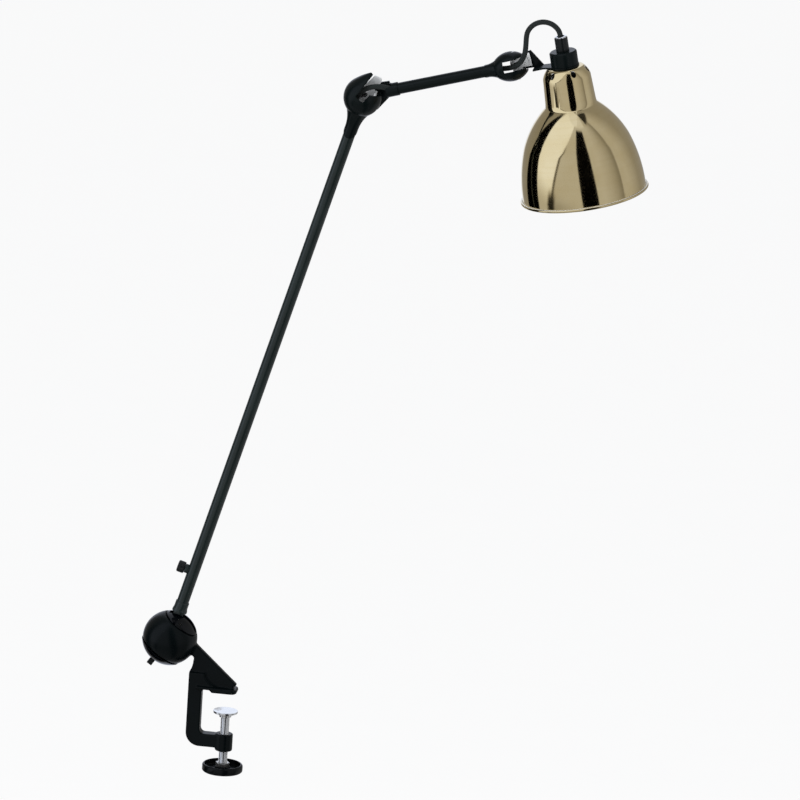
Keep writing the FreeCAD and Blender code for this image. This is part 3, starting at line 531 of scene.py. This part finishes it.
def wear(piece: bpy.types.Object, finish: Finish) -> bpy.types.Object:
    """Give a piece one of the finishes.

    Args:
        piece: the piece.
        finish: its finish, whose material is built when it is first used.

    Returns:
        The same piece.
    """
    slot, recipe = finish.value
    if finish not in MATERIALS:
        MATERIALS[finish] = recipe.build()
    piece.data.materials.clear()
    piece.data.materials.append(MATERIALS[finish])
    return piece


def ridge(piece: bpy.types.Object, width_mm: float, segments: int = 2) -> bpy.types.Object:
    """Round the edges of a piece, where its faces turn more than the edge angle.

    Args:
        piece: the piece.
        width_mm: width of the rounding.
        segments: number of faces across it.

    Returns:
        The same piece.
    """
    bevel = piece.modifiers.new("edge", "BEVEL")
    bevel.width, bevel.segments, bevel.limit_method = width_mm * MM, segments, "ANGLE"
    bevel.angle_limit, bevel.harden_normals = math.radians(EDGE_DEG), True
    return piece


def dress(node: str, body: str, finish: Finish, edge_mm: float = 0.3,
          reshape: Callable | None = None) -> bpy.types.Object:
    """Stand a merged, smooth and bevelled copy of a CAD node in its place.

    Args:
        node: name of the CAD node.
        body: name of the body that it rides on.
        finish: its finish.
        edge_mm: width of the rounded edges, or 0.
        reshape: function from the copy's points to their new places, in metres, or None.

    Returns:
        The new piece.
    """
    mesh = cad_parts[node].data.copy()
    piece = solid_object(node + ".skin", mesh, outward=False)
    if reshape is not None:
        points = np.empty(len(mesh.vertices) * 3)
        mesh.vertices.foreach_get("co", points)
        mesh.vertices.foreach_set("co", reshape(points.reshape(-1, 3)).ravel())
    work = bmesh.new()
    work.from_mesh(mesh)
    bmesh.ops.dissolve_limit(work, angle_limit=math.radians(FLAT_DEG), verts=work.verts, edges=work.edges)
    work.to_mesh(mesh)
    work.free()
    mesh.set_sharp_from_angle(angle=math.radians(EDGE_DEG))
    if edge_mm:
        ridge(piece, edge_mm)
    return seat(piece, body, finish, node)


def seat(piece: bpy.types.Object, body: str, finish: Finish, *nodes: str) -> bpy.types.Object:
    """Finish a piece, let it stand for CAD nodes and ride on a body, and report it.

    Args:
        piece: the piece.
        body: name of the body.
        finish: its finish.
        nodes: names of the CAD nodes.

    Returns:
        The same piece.
    """
    wear(piece, finish)
    if nodes:
        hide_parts(*nodes)
    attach(piece, body)
    log.info("%s on %s, %d faces", piece.name, body, len(piece.data.polygons))
    return piece


# Sub-assemblies

@dataclass
class Clamp:
    """Cast clamp with its threaded screw, disc and handwheel. Sizes in millimetres."""

    voxel: float = 0.75
    soften_turns: int = 7
    screw_radius: float = 4.9
    foot_radius: float = 3.4
    screw_top: float = -23.35
    shoulder: float = -28.3
    screw_end: float = -87.05
    pitch: float = 1.5
    thread_depth: float = 0.7
    ball_radius: float = 29.5
    turned_margin: float = 0.2
    soft_reach: float = 3.0
    weight_levels: int = 10
    thread_end: float = -84.0
    columns: int = 48
    rows_per_turn: int = 12

    def casting(self) -> bpy.types.Object:
        """Remesh the cast frame in small cells and relax it everywhere but at the turned ball.

        The weight of a point is 0 on the ball, and rises to 1 over the soft reach outside its margin.

        Returns:
            The finished piece.
        """
        source = bpy.data.objects.new("rough_casting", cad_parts["clamp_frame"].data.copy())
        bpy.context.collection.objects.link(source)
        solid = source.modifiers.new("cells", "REMESH")
        solid.mode, solid.voxel_size = "VOXEL", self.voxel * MM
        shaped = source.evaluated_get(bpy.context.evaluated_depsgraph_get())
        mesh = bpy.data.meshes.new_from_object(shaped)
        bpy.data.objects.remove(source)
        piece = solid_object("clamp_frame.cast", mesh, sharp_deg=50.0)
        places = np.empty(len(mesh.vertices) * 3)
        mesh.vertices.foreach_get("co", places)
        centre = BALL.world(np.zeros(3))
        away = np.linalg.norm(places.reshape(-1, 3) - centre, axis=1) / MM - self.ball_radius
        group = piece.vertex_groups.new(name="cast")
        weight = np.clip((away - self.turned_margin) / self.soft_reach, 0.0, 1.0)
        for level in range(1, self.weight_levels + 1):
            chosen = np.flatnonzero(np.rint(weight * self.weight_levels) == level)
            group.add(chosen.tolist(), level / self.weight_levels, "REPLACE")
        smooth = piece.modifiers.new("relax", "SMOOTH")
        smooth.factor, smooth.iterations, smooth.vertex_group = 0.5, self.soften_turns, "cast"
        return seat(piece, "clamp", Finish.CAST, "clamp_frame")

    def screw(self) -> bpy.types.Object:
        """Threaded rod: its radius falls by the thread depth along a triangle wave of height less angle.

        The wave's crests and roots are cut flat, and it fades in below the shoulder and out at the thread's end.

        Returns:
            The bare piece.
        """
        height = np.arange(self.screw_top, self.screw_end, -self.pitch / self.rows_per_turn)
        angle = ring(self.columns)
        wave = np.abs(((height[:, None] / self.pitch - angle / (2 * math.pi)) % 1.0) * 2 - 1)
        cut = np.clip(1.4 * wave - 0.2, 0, 1)
        threaded = np.clip(self.shoulder - height, 0, 1) * np.clip((height - self.thread_end) / self.pitch, 0, 1)
        base = np.where(height > self.shoulder, self.foot_radius, self.screw_radius)
        radius = base[:, None] - self.thread_depth * cut * threaded[:, None]
        rise = np.repeat(height[:, None], self.columns, 1)
        local = np.stack([radius * np.cos(angle), radius * np.sin(angle), rise], -1)
        ends = np.zeros((1, self.columns, 3))
        first, last = ends + [0, 0, height[0]], ends + [0, 0, height[-1]]
        return surface("clamp_screw.thread", LAMP.world(np.concatenate([first, local, last])))

    def build(self) -> None:
        """Build and dress the clamp."""
        self.casting()
        seat(self.screw(), "screw", Finish.CHROME, "clamp_screw")
        dress("pressure_disc", "screw_carrier", Finish.CHROME, 0.35)
        dress("handwheel", "screw", Finish.WHEEL_PAINTED_SHADE, 0.6)
        dress("wheel_nut", "screw", Finish.ZINC, 0.3)


@dataclass
class BallSwivel:
    """Sliced ball with its stud, pin and spring washer."""

    def build(self) -> None:
        """Dress the turned pieces."""
        dress("ball_upper_dome", "swivel", Finish.GLOSS, 0.3)
        dress("ball_lower_cap", "swivel", Finish.GLOSS, 0.3)
        dress("ball_stud", "swivel", Finish.BURNISHED, 0.3)
        for node in ("tilt_pin", "spring_washer"):
            dress(node, "swivel", Finish.ZINC, 0.2)


@dataclass(frozen=True)
class SlottedHead:
    """Cross screw of a joint, along the depth: shank, head and a cut slot. Sizes in millimetres."""

    node: str
    body: str
    place: Place
    head_radius: float
    web_front: float
    tail: float
    head_height: float = 2.5
    shank_radius: float = 2.4
    slot_half: float = 0.5
    slot_depth: float = 0.9
    slot_turn: float = 35.0
    slot_wall: float = 0.12
    chamfer: float = 0.9
    blunting: float = 0.4
    round_off: float = 0.15
    face_rows: int = 22
    columns: int = 72

    def build(self) -> None:
        """Carry the section round the screw's axis, and sink the face where it lies within the slot."""
        front = self.web_front - self.head_height
        face = np.linspace(self.head_radius - self.chamfer, 0.0, self.face_rows)
        radius = np.concatenate([[0.0, self.shank_radius - self.blunting, self.shank_radius, self.shank_radius,
                                  self.head_radius, self.head_radius, self.head_radius - self.round_off], face])
        depth = np.concatenate([[self.tail, self.tail, self.tail - self.blunting, self.web_front, self.web_front,
                                 front + self.chamfer, front + self.round_off], np.full(self.face_rows, front)])
        angle = ring(self.columns)
        side, height = radius[:, None] * np.cos(angle), radius[:, None] * np.sin(angle)
        turn = math.radians(self.slot_turn)
        across = np.abs(side * math.cos(turn) + height * math.sin(turn))
        on_face = (np.arange(len(radius)) >= len(radius) - self.face_rows)[:, None]
        within = np.clip((self.slot_half + self.slot_wall - across) / self.slot_wall, 0, 1)
        sink = within * on_face * self.slot_depth
        local = np.stack([side, depth[:, None] + sink, height], -1)
        seat(surface(self.node + ".slotted", self.place.world(local)), self.body, Finish.CHROME, self.node)


@dataclass
class LongArm:
    """Foot, long tube, switch and elbow fork."""

    def build(self) -> None:
        """Dress the pieces that turn with the long arm."""
        for node, edge in (("arm_knuckle", 0.4), ("foot_sleeve", 0.3), ("long_tube", 0.2), ("switch_collar", 0.4)):
            dress(node, "long_arm", Finish.SATIN, edge)
        dress("elbow_fork", "long_arm", Finish.DEEP_PAINTED_SHADE, 0.45)
        dress("elbow_swing_pins", "long_arm", Finish.ZINC, 0.2)
        dress("lead_bush", "long_arm", Finish.RESIN, 0.4)
        dress("switch_knob", "knob", Finish.RESIN, 0.2)


@dataclass
class ElbowJoint:
    """Folded stirrup of the elbow with its cross screw and nut."""

    def build(self) -> None:
        """Dress the stirrup and cut the slot of its screw."""
        dress("elbow_stirrup", "elbow_stirrup_body", Finish.NICKEL_PAINTED_REFLECTION, 0.3)
        SlottedHead("elbow_bend_screw", "elbow_stirrup_body", ELBOW,
                    head_radius=3.7, web_front=8.1, tail=15.6).build()
        dress("elbow_bend_nut", "elbow_stirrup_body", Finish.ZINC, 0.3)


@dataclass
class ShortArm:
    """Flap with its socket, short tube and head fork."""

    def build(self) -> None:
        """Dress the pieces that turn with the short arm."""
        for node, edge in (("short_socket", 0.4), ("short_tube", 0.2), ("head_fork", 0.45)):
            dress(node, "short_arm", Finish.DEEP_PAINTED_SHADE, edge)
        dress("head_swing_pins", "short_arm", Finish.ZINC, 0.2)


@dataclass
class HeadJoint:
    """Folded stirrup of the head with its cross screw and nut."""

    def build(self) -> None:
        """Dress the stirrup and cut the slot of its screw."""
        dress("head_stirrup", "head_stirrup_body", Finish.NICKEL_PAINTED_REFLECTION, 0.3)
        SlottedHead("head_tilt_screw", "head_stirrup_body", HEAD,
                    head_radius=3.3, web_front=6.1, tail=13.6).build()
        dress("head_tilt_nut", "head_stirrup_body", Finish.ZINC, 0.3)


@dataclass
class Head:
    """Bracket, collar, grip, shade, holder and bulb. Sizes in millimetres."""

    flat_radius: float = 18.8
    shoulder: float = 7.4
    neck_height: float = 42.8
    drop: float = 3.6
    draw_in: float = 0.8
    slope_power: float = 1.4

    def crown(self, points: np.ndarray) -> np.ndarray:
        """Let the round shoulder of the shade slope further down its neck.

        About the centre of the shoulder's arc, a point at angle a from the axis goes down by the drop times
        sin(a) to the slope's power, and in by the draw times sin(2a). Below the arc the drop fades along the neck.

        Args:
            points: points of the shade, in metres.

        Returns:
            The moved points, in metres.
        """
        local = SHADE.local(points)
        radius = np.hypot(local[:, 0], local[:, 1])
        out, up = radius - self.flat_radius, local[:, 2] + self.shoulder
        angle = np.arctan2(np.clip(out, 0.0, None), np.clip(up, 1e-9, None))
        fade = np.clip(1.0 + up / (self.neck_height - self.shoulder), 0.0, 1.0)
        slope = np.sin(angle) ** self.slope_power * np.where(up < 0, fade, 1.0)
        down = np.where(out > 0, self.drop * slope, 0.0)
        inward = np.where((out > 0) & (up > 0), self.draw_in * np.sin(2 * angle), 0.0)
        share = 1.0 - inward / np.maximum(radius, 1.0)
        return SHADE.world(np.stack([local[:, 0] * share, local[:, 1] * share, local[:, 2] - down], -1))

    def build(self) -> None:
        """Dress the pieces of the head."""
        dress("head_bracket", "head", Finish.DEEP_PAINTED_SHADE, 0.3)
        dress("holder_collar", "head", Finish.DEEP_PAINTED_SHADE, 0.3)
        dress("cord_grip", "head", Finish.RESIN, 0.3)
        dress("grip_ring", "head", Finish.CHROME, 0.2)
        dress("shade", "head", Finish.BRASS, 0.0, self.crown)
        dress("lampholder", "head", Finish.RESIN, 0.3)
        dress("shade_ring", "head", Finish.RESIN, 0.3)
        dress("bulb_glass", "head", Finish.OPAL, 0.0)
        dress("bulb_cap", "head", Finish.ZINC, 0.2)


@dataclass(frozen=True)
class FlexRun:
    """One free stretch of braided flex across one joint. Route points are in millimetres."""

    node: str
    place: Place
    route: tuple
    bodies: tuple
    turns: tuple
    radius: float = 2.9
    declared_mm: float = 5.7
    yarn: float = 0.28
    lay_mm: float = 16.0
    strands: int = 8
    row_mm: float = 0.32
    columns: int = 64
    smoothing: int = 9
    crest_power: float = 0.6

    def centreline(self) -> np.ndarray:
        """Points of the smooth line whose control points are the route.

        Returns:
            The points in order, in metres.
        """
        control = self.place.world(np.array(self.route))
        curve = bpy.data.curves.new(self.node + "_line", "CURVE")
        curve.dimensions, curve.resolution_u = "3D", 16
        spline = curve.splines.new("NURBS")
        spline.points.add(len(control) - 1)
        spline.points.foreach_set("co", np.c_[control, np.ones(len(control))].ravel())
        spline.order_u, spline.use_endpoint_u = 3, True
        holder = bpy.data.objects.new(self.node + "_line", curve)
        bpy.context.collection.objects.link(holder)
        mesh = bpy.data.meshes.new_from_object(holder.evaluated_get(bpy.context.evaluated_depsgraph_get()))
        line = np.empty(len(mesh.vertices) * 3)
        mesh.vertices.foreach_get("co", line)
        bpy.data.objects.remove(holder)
        bpy.data.meshes.remove(mesh)
        return line.reshape(-1, 3)

    def build(self) -> bpy.types.Object:
        """Carry the braid's section along the line.

        The section's radius is the flex's less the yarn, plus the yarn times the higher of two sets of
        ridges that run round the flex in opposite directions and pass over each other in turn.

        Returns:
            The piece.
        """
        line = self.centreline()
        steps = np.linalg.norm(np.diff(line, axis=0), axis=1)
        travel = np.concatenate([[0.0], np.cumsum(steps)])
        length = travel[-1]
        along = np.linspace(0.0, length, int(length / MM / self.row_mm))
        spine = np.stack([np.interp(along, travel, line[:, axis]) for axis in range(3)], -1)
        padded = np.pad(spine, ((self.smoothing // 2,) * 2, (0, 0)), mode="reflect", reflect_type="odd")
        window = np.ones(self.smoothing) / self.smoothing
        even = np.stack([np.convolve(padded[:, axis], window, "valid") for axis in range(3)], -1)
        tangent = np.gradient(even, axis=0)
        tangent /= np.linalg.norm(tangent, axis=1, keepdims=True)
        depth = np.array([0.0, 1.0, 0.0]) - tangent * tangent[:, 1:2]
        depth /= np.linalg.norm(depth, axis=1, keepdims=True)
        across = np.cross(tangent, depth)
        angle = ring(self.columns)
        phase = along[:, None] / MM / self.lay_mm * 2 * math.pi
        left, right = self.strands * (angle + phase) / 2, self.strands * (angle - phase) / 2
        over = 0.5 + 0.5 * np.sign(np.cos(left) * np.cos(right))
        ridges = np.abs(np.where(over > 0.5, np.cos(left), np.cos(right))) ** self.crest_power
        radius = MM * (self.radius - self.yarn + self.yarn * ridges)
        local = ((radius * np.cos(angle))[..., None] * depth[:, None]
                 + (radius * np.sin(angle))[..., None] * across[:, None])
        points = spine[:, None] + local
        caps = [np.repeat(spine[end][None, None], self.columns, axis=1) for end in (0, -1)]
        piece = surface(self.node + ".braid", np.concatenate([caps[0], points, caps[1]]),
                        uv_size=(1.0, length / MM / self.lay_mm))
        wear(piece, Finish.BRAID)
        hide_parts(self.node)
        start, end = (tuple(self.place.world(np.array(turn))) for turn in self.turns)
        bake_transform(piece)
        log.info("%s from %s to %s, %.1f mm", piece.name, *self.bodies, length / MM)
        return piece


@dataclass
class Flex:
    """The braided flex, inside the tubes and in its four free stretches."""

    elbow_lower: tuple = ((0.0, 0.0, -48.0), (0.0, 0.0, -39.0), (0.0, -0.4, -30.2), (-1.83, -2.55, -21.26),
                          (-3.7, -4.0, -14.0))
    elbow_upper: tuple = ((-3.7, -4.0, -14.0), (-5.57, -5.45, -6.74), (-5.05, -6.4, 0.75), (-2.0, -6.7, 7.6),
                          (3.2, -6.4, 13.0), (9.8, -5.4, 16.5), (17.1, -3.7, 18.3), (24.5, -1.7, 18.7),
                          (31.5, 0.0, 20.31), (37.83, 0.0, 24.38))
    loop_lower: tuple = ((248.03, 0.0, 728.24), (257.5, 0.0, 731.17), (267.5, -2.8, 733.4), (276.5, -5.9, 737.4),
                         (282.5, -7.1, 744.3), (285.6, -6.5, 752.3), (286.1, -5.7, 760.0), (285.95, -4.9, 767.3))
    loop_upper: tuple = ((285.95, -4.9, 767.3), (285.81, -4.16, 774.05), (288.27, -3.6, 780.49),
                         (292.88, -3.0, 785.61), (299.03, -2.4, 788.74), (305.89, -1.8, 789.46),
                         (312.55, -1.2, 787.68), (318.12, -0.6, 783.62), (321.8, -0.1, 777.9), (323.14, 0.0, 771.09))

    def build(self) -> None:
        """Build the free stretches, and dress the flex inside the tubes."""
        FlexRun("cord_elbow_lower", ELBOW, self.elbow_lower, ("long_arm", "elbow_stirrup_body"),
                ((0.0, 0.0, -40.0), (-3.5, -4.0, -15.0))).build()
        FlexRun("cord_elbow_upper", ELBOW, self.elbow_upper, ("elbow_stirrup_body", "short_arm"),
                ((3.2, -6.4, 8.0), (28.0, -1.0, 19.0))).build()
        FlexRun("cord_loop_lower", LAMP, self.loop_lower, ("short_arm", "head_stirrup_body"),
                ((262.0, 0.0, 732.0), (285.9, -6.0, 764.0))).build()
        FlexRun("cord_loop_upper", LAMP, self.loop_upper, ("head_stirrup_body", "head"),
                ((286.0, -4.0, 772.0), (303.0, -2.5, 789.0))).build()
        dress("cord_long_arm", "long_arm", Finish.BRAID, 0.0)
        dress("cord_short_arm", "short_arm", Finish.BRAID, 0.0)


# Studio

PANEL_TOP, PANEL_FOOT = 30.0, 90.0    # degrees below the zenith of the tent
ZENITH, NADIR = 0.0, 180.0


@dataclass(frozen=True)
class Panel:
    """Upright panel of the room, seen in reflections only. Angles in degrees.

    It leans, so each side has two turns about the zenith of the tent: at the panel's top and at its foot.
    It reaches from high to low degrees below the zenith, or all the way where they lie beyond its ends.
    """

    left: tuple
    right: tuple
    level: float
    high: float = -10.0
    low: float = 190.0
    edge: float = 1.2
    fade: float = 4.0


@dataclass(frozen=True)
class Softbox:
    """Round area lamp. Metres and watts."""

    name: str
    place: tuple
    target: tuple
    size: float
    power: float

    def build(self) -> None:
        """Hang the lamp in its place, turned to its target and hidden from reflections."""
        data = bpy.data.lights.new(self.name, "AREA")
        data.shape, data.size, data.energy = "DISK", self.size, self.power
        holder = bpy.data.objects.new(self.name, data)
        bpy.context.collection.objects.link(holder)
        holder.location = self.place
        holder.visible_glossy = False
        beam = Vector(self.target) - Vector(self.place)
        holder.rotation_euler = beam.to_track_quat("-Z", "Y").to_euler()


@dataclass
class Studio:
    """Camera at the photograph's angle, pale floor and soft light. Angles in degrees.

    A wall is a turn about the tent's zenith with its level. The floor is dimmed from the first of its drops
    to the second, and only in front of its turns. The key is large and soft, from the upper left front, and
    the fill is small, from the right.
    """

    azimuth: float = 8.0
    elevation: float = 17.0
    roll: float = 3.3
    mm_per_pixel: float = 1.08
    pixels: int = 800
    anchor_pixel: tuple = (223.9, 691.5)
    anchor_mm: tuple = (-3.0, 0.0, 0.0)
    floor_height: float = -0.30
    soft_level: float = 0.75
    tent_tilt: float = 9.0
    walls: tuple = ((-180.0, 1.00), (-150.0, 1.00), (-143.0, 0.32), (-108.0, 0.30), (-30.0, 0.57), (50.0, 0.60),
                    (66.0, 0.51), (78.0, 0.40), (88.0, 0.24), (89.5, 0.56), (105.0, 0.57), (118.0, 0.48), (136.0, 0.34),
                    (173.0, 0.33), (178.0, 1.00))
    panels: tuple = (
        Panel((-87.0, -82.5), (-22.0, -45.0), 1.06),
        Panel((-22.0, -45.0), (-4.0, 7.0), 0.61),
        Panel((-23.0, -46.5), (-20.0, -42.5), 0.14, high=40.0, edge=2.0, fade=20.0),
        Panel((-24.0, -51.0), (-19.0, -40.0), 0.04, high=94.0, low=122.0, edge=6.0, fade=10.0),
        Panel((-4.0, 7.0), (27.0, 37.0), 0.0, high=20.0),
        Panel((-91.0, -109.0), (-87.0, -82.5), 0.0, high=30.0),
        Panel((-95.0, -95.0), (0.0, 0.0), 0.92, low=16.0),
        Panel((0.0, 0.0), (48.0, 48.0), 0.78, low=16.0),
        Panel((48.0, 48.0), (68.0, 68.0), 0.53, low=16.0),
        Panel((68.0, 68.0), (128.0, 128.0), 0.03, low=16.0))
    floor_dimming: float = 0.45
    floor_drops: tuple = (92.0, 112.0)
    front_turns: tuple = (84.0, 92.0)
    dark_tint: tuple = (1.02, 0.97, 0.88)
    bright_tint: tuple = (0.94, 1.0, 1.14)
    soft_tint: tuple = (0.95, 0.97, 1.0)
    floor_half: float = 8.0
    floor_glow: float = 0.85
    view_distance: float = 3.0
    view_depth: float = 20.0
    softboxes: tuple = (Softbox("key", (-1.3, -1.6, 1.9), (0.1, 0.0, 0.4), 1.1, 26.0),
                        Softbox("fill", (1.5, -1.1, 0.7), (0.2, 0.0, 0.5), 0.8, 6.0))

    def camera(self) -> None:
        """Parallel view whose axes follow azimuth, elevation and roll, with the anchor on its pixel."""
        azimuth, elevation, roll = np.radians([self.azimuth, self.elevation, self.roll])
        right = np.array([math.cos(azimuth), math.sin(azimuth), 0.0])
        up = np.array([-math.sin(azimuth) * math.sin(elevation), math.cos(azimuth) * math.sin(elevation),
                       math.cos(elevation)])
        across = right * math.cos(roll) + up * math.sin(roll)
        upward = up * math.cos(roll) - right * math.sin(roll)
        back = np.cross(across, upward)
        scale = self.mm_per_pixel * MM
        half = self.pixels / 2
        centre = (np.array(self.anchor_mm) * MM + across * (half - self.anchor_pixel[0]) * scale
                  - upward * (half - self.anchor_pixel[1]) * scale)
        data = bpy.data.cameras.new("view")
        data.type, data.ortho_scale, data.clip_end = "ORTHO", self.pixels * scale, self.view_depth
        holder = bpy.data.objects.new("view", data)
        bpy.context.collection.objects.link(holder)
        axes = Matrix(np.c_[across, upward, back].tolist()).to_4x4()
        holder.matrix_world = Matrix.Translation(Vector(centre + back * self.view_distance)) @ axes
        bpy.context.scene.camera = holder

    def floor(self) -> None:
        """Wide pale floor below the clamp, white to the camera and hidden from reflections."""
        mesh = bpy.data.meshes.new("floor")
        corners = [(x * self.floor_half, y * self.floor_half, self.floor_height)
                   for x, y in ((-1, -1), (1, -1), (1, 1), (-1, 1))]
        mesh.from_pydata(corners, [], [(0, 1, 2, 3)])
        floor = bpy.data.objects.new("floor", mesh)
        bpy.context.collection.objects.link(floor)
        sheet = Sheet("pale floor")
        grain = sheet.noise(sheet.place(), 60.0, 2.0)
        sheet.set(Base_Color=sheet.ramp(grain, 0.3, 0.7, (0.86, 0.86, 0.86), (0.88, 0.88, 0.88)), Roughness=0.9)
        path = sheet.add("LightPath")
        glow = sheet.add("Emission", {"Color": (1.0, 1.0, 1.0, 1.0), "Strength": 1.0})
        share = sheet.math("MULTIPLY", path.outputs["Is Camera Ray"], self.floor_glow)
        mix = sheet.add("MixShader", {0: share, 1: sheet.shader.outputs[0], 2: glow.outputs[0]})
        sheet.tree.links.new(mix.outputs[0], sheet.tree.nodes["Material Output"].inputs["Surface"])
        mesh.materials.append(sheet.material)
        floor.visible_glossy = False

    def room(self, nodes: Nodes) -> bpy.types.NodeSocket:
        """Level of the room in each direction.

        The turn about the tent's zenith gives the level of the walls. Each panel then covers what is behind
        it, and the front of the floor is dimmed.

        Args:
            nodes: the world's tree.

        Returns:
            The level, about 0 to 1.
        """
        direction = nodes.add("TexCoord").outputs["Generated"]
        tent = nodes.add("VectorRotate", {"Vector": direction, "Angle": -math.radians(self.tent_tilt)},
                         rotation_type="X_AXIS").outputs[0]
        parts = nodes.add("SeparateXYZ", {0: tent}).outputs
        turn = nodes.math("DEGREES", nodes.math("ARCTAN2", parts[0], nodes.math("MULTIPLY", parts[1], -1.0)))
        drop = nodes.math("DEGREES", nodes.math("ARCCOSINE", parts[2]))
        walls = nodes.add("ValToRGB", {"Fac": nodes.math("ADD", nodes.math("DIVIDE", turn, 360.0), 0.5)})
        stops = walls.color_ramp.elements
        while len(stops) < len(self.walls):
            stops.new(1.0)
        for stop, (angle, strength) in zip(stops, self.walls):
            stop.position, stop.color = angle / 360.0 + 0.5, (strength, strength, strength, 1.0)
        level = walls.outputs["Color"]
        for panel in self.panels:
            mask = self.cover(nodes, panel, turn, drop)
            level = nodes.math("ADD", nodes.math("MULTIPLY", level, nodes.rest(mask)),
                               nodes.math("MULTIPLY", mask, panel.level))
        front = nodes.rest(nodes.smooth(nodes.math("ABSOLUTE", turn), *self.front_turns))
        below = nodes.math("MULTIPLY", nodes.smooth(drop, *self.floor_drops), front)
        return nodes.math("MULTIPLY", level, nodes.rest(nodes.math("MULTIPLY", below, self.floor_dimming)))

    @staticmethod
    def cover(nodes: Nodes, panel: Panel, turn: bpy.types.NodeSocket,
              drop: bpy.types.NodeSocket) -> bpy.types.NodeSocket:
        """How far a panel covers each direction.

        Args:
            nodes: the world's tree.
            panel: the panel.
            turn: degrees about the tent's zenith.
            drop: degrees below it.

        Returns:
            The share, 0 to 1.
        """
        sides = []
        for top, foot in (panel.left, panel.right):
            lean = (foot - top) / (PANEL_FOOT - PANEL_TOP)
            side = nodes.math("ADD", nodes.math("MULTIPLY", drop, lean), top - lean * PANEL_TOP)
            sides.append(nodes.smooth(nodes.math("SUBTRACT", turn, side), -panel.edge / 2, panel.edge / 2))
        mask = nodes.math("MULTIPLY", sides[0], nodes.rest(sides[1]))
        if panel.high > ZENITH:
            mask = nodes.math("MULTIPLY", mask, nodes.smooth(drop, panel.high, panel.high + panel.fade))
        if panel.low < NADIR:
            rise = nodes.math("MULTIPLY", drop, -1.0)
            mask = nodes.math("MULTIPLY", mask, nodes.smooth(rise, -panel.low - panel.fade, -panel.low))
        return mask

    def world(self) -> None:
        """White to the camera, a bright room with dark upright gaps to reflections, soft light to the rest."""
        world = bpy.data.worlds.new("studio")
        bpy.context.scene.world = world
        world.use_nodes = True
        world.node_tree.nodes.clear()
        nodes = Nodes(world.node_tree)
        level = self.room(nodes)
        path = nodes.add("LightPath").outputs
        shown = nodes.add("Background", {"Color": nodes.blend(level, self.dark_tint, self.bright_tint),
                                         "Strength": level})
        soft = nodes.add("Background", {"Color": self.soft_tint, "Strength": self.soft_level})
        seen = nodes.add("Background", {"Color": (1.0, 1.0, 1.0), "Strength": 1.0})
        first = nodes.add("MixShader", {0: path["Is Glossy Ray"], 1: soft.outputs[0], 2: shown.outputs[0]})
        second = nodes.add("MixShader", {0: path["Is Camera Ray"], 1: first.outputs[0], 2: seen.outputs[0]})
        nodes.add("OutputWorld", {"Surface": second.outputs[0]})

    def build(self) -> None:
        """Set up the view, the floor and the light."""
        bpy.context.scene.view_settings.view_transform = "Standard"
        self.camera()
        self.floor()
        self.world()
        for softbox in self.softboxes:
            softbox.build()


def main() -> None:
    """Build every sub-assembly in order."""
    logging.basicConfig(level=logging.INFO, format="%(name)s: %(message)s")
    for assembly in (Studio, Flex, Clamp, BallSwivel, LongArm, ElbowJoint, ShortArm, HeadJoint, Head):
        assembly().build()


if __name__ == "__main__":
    main()
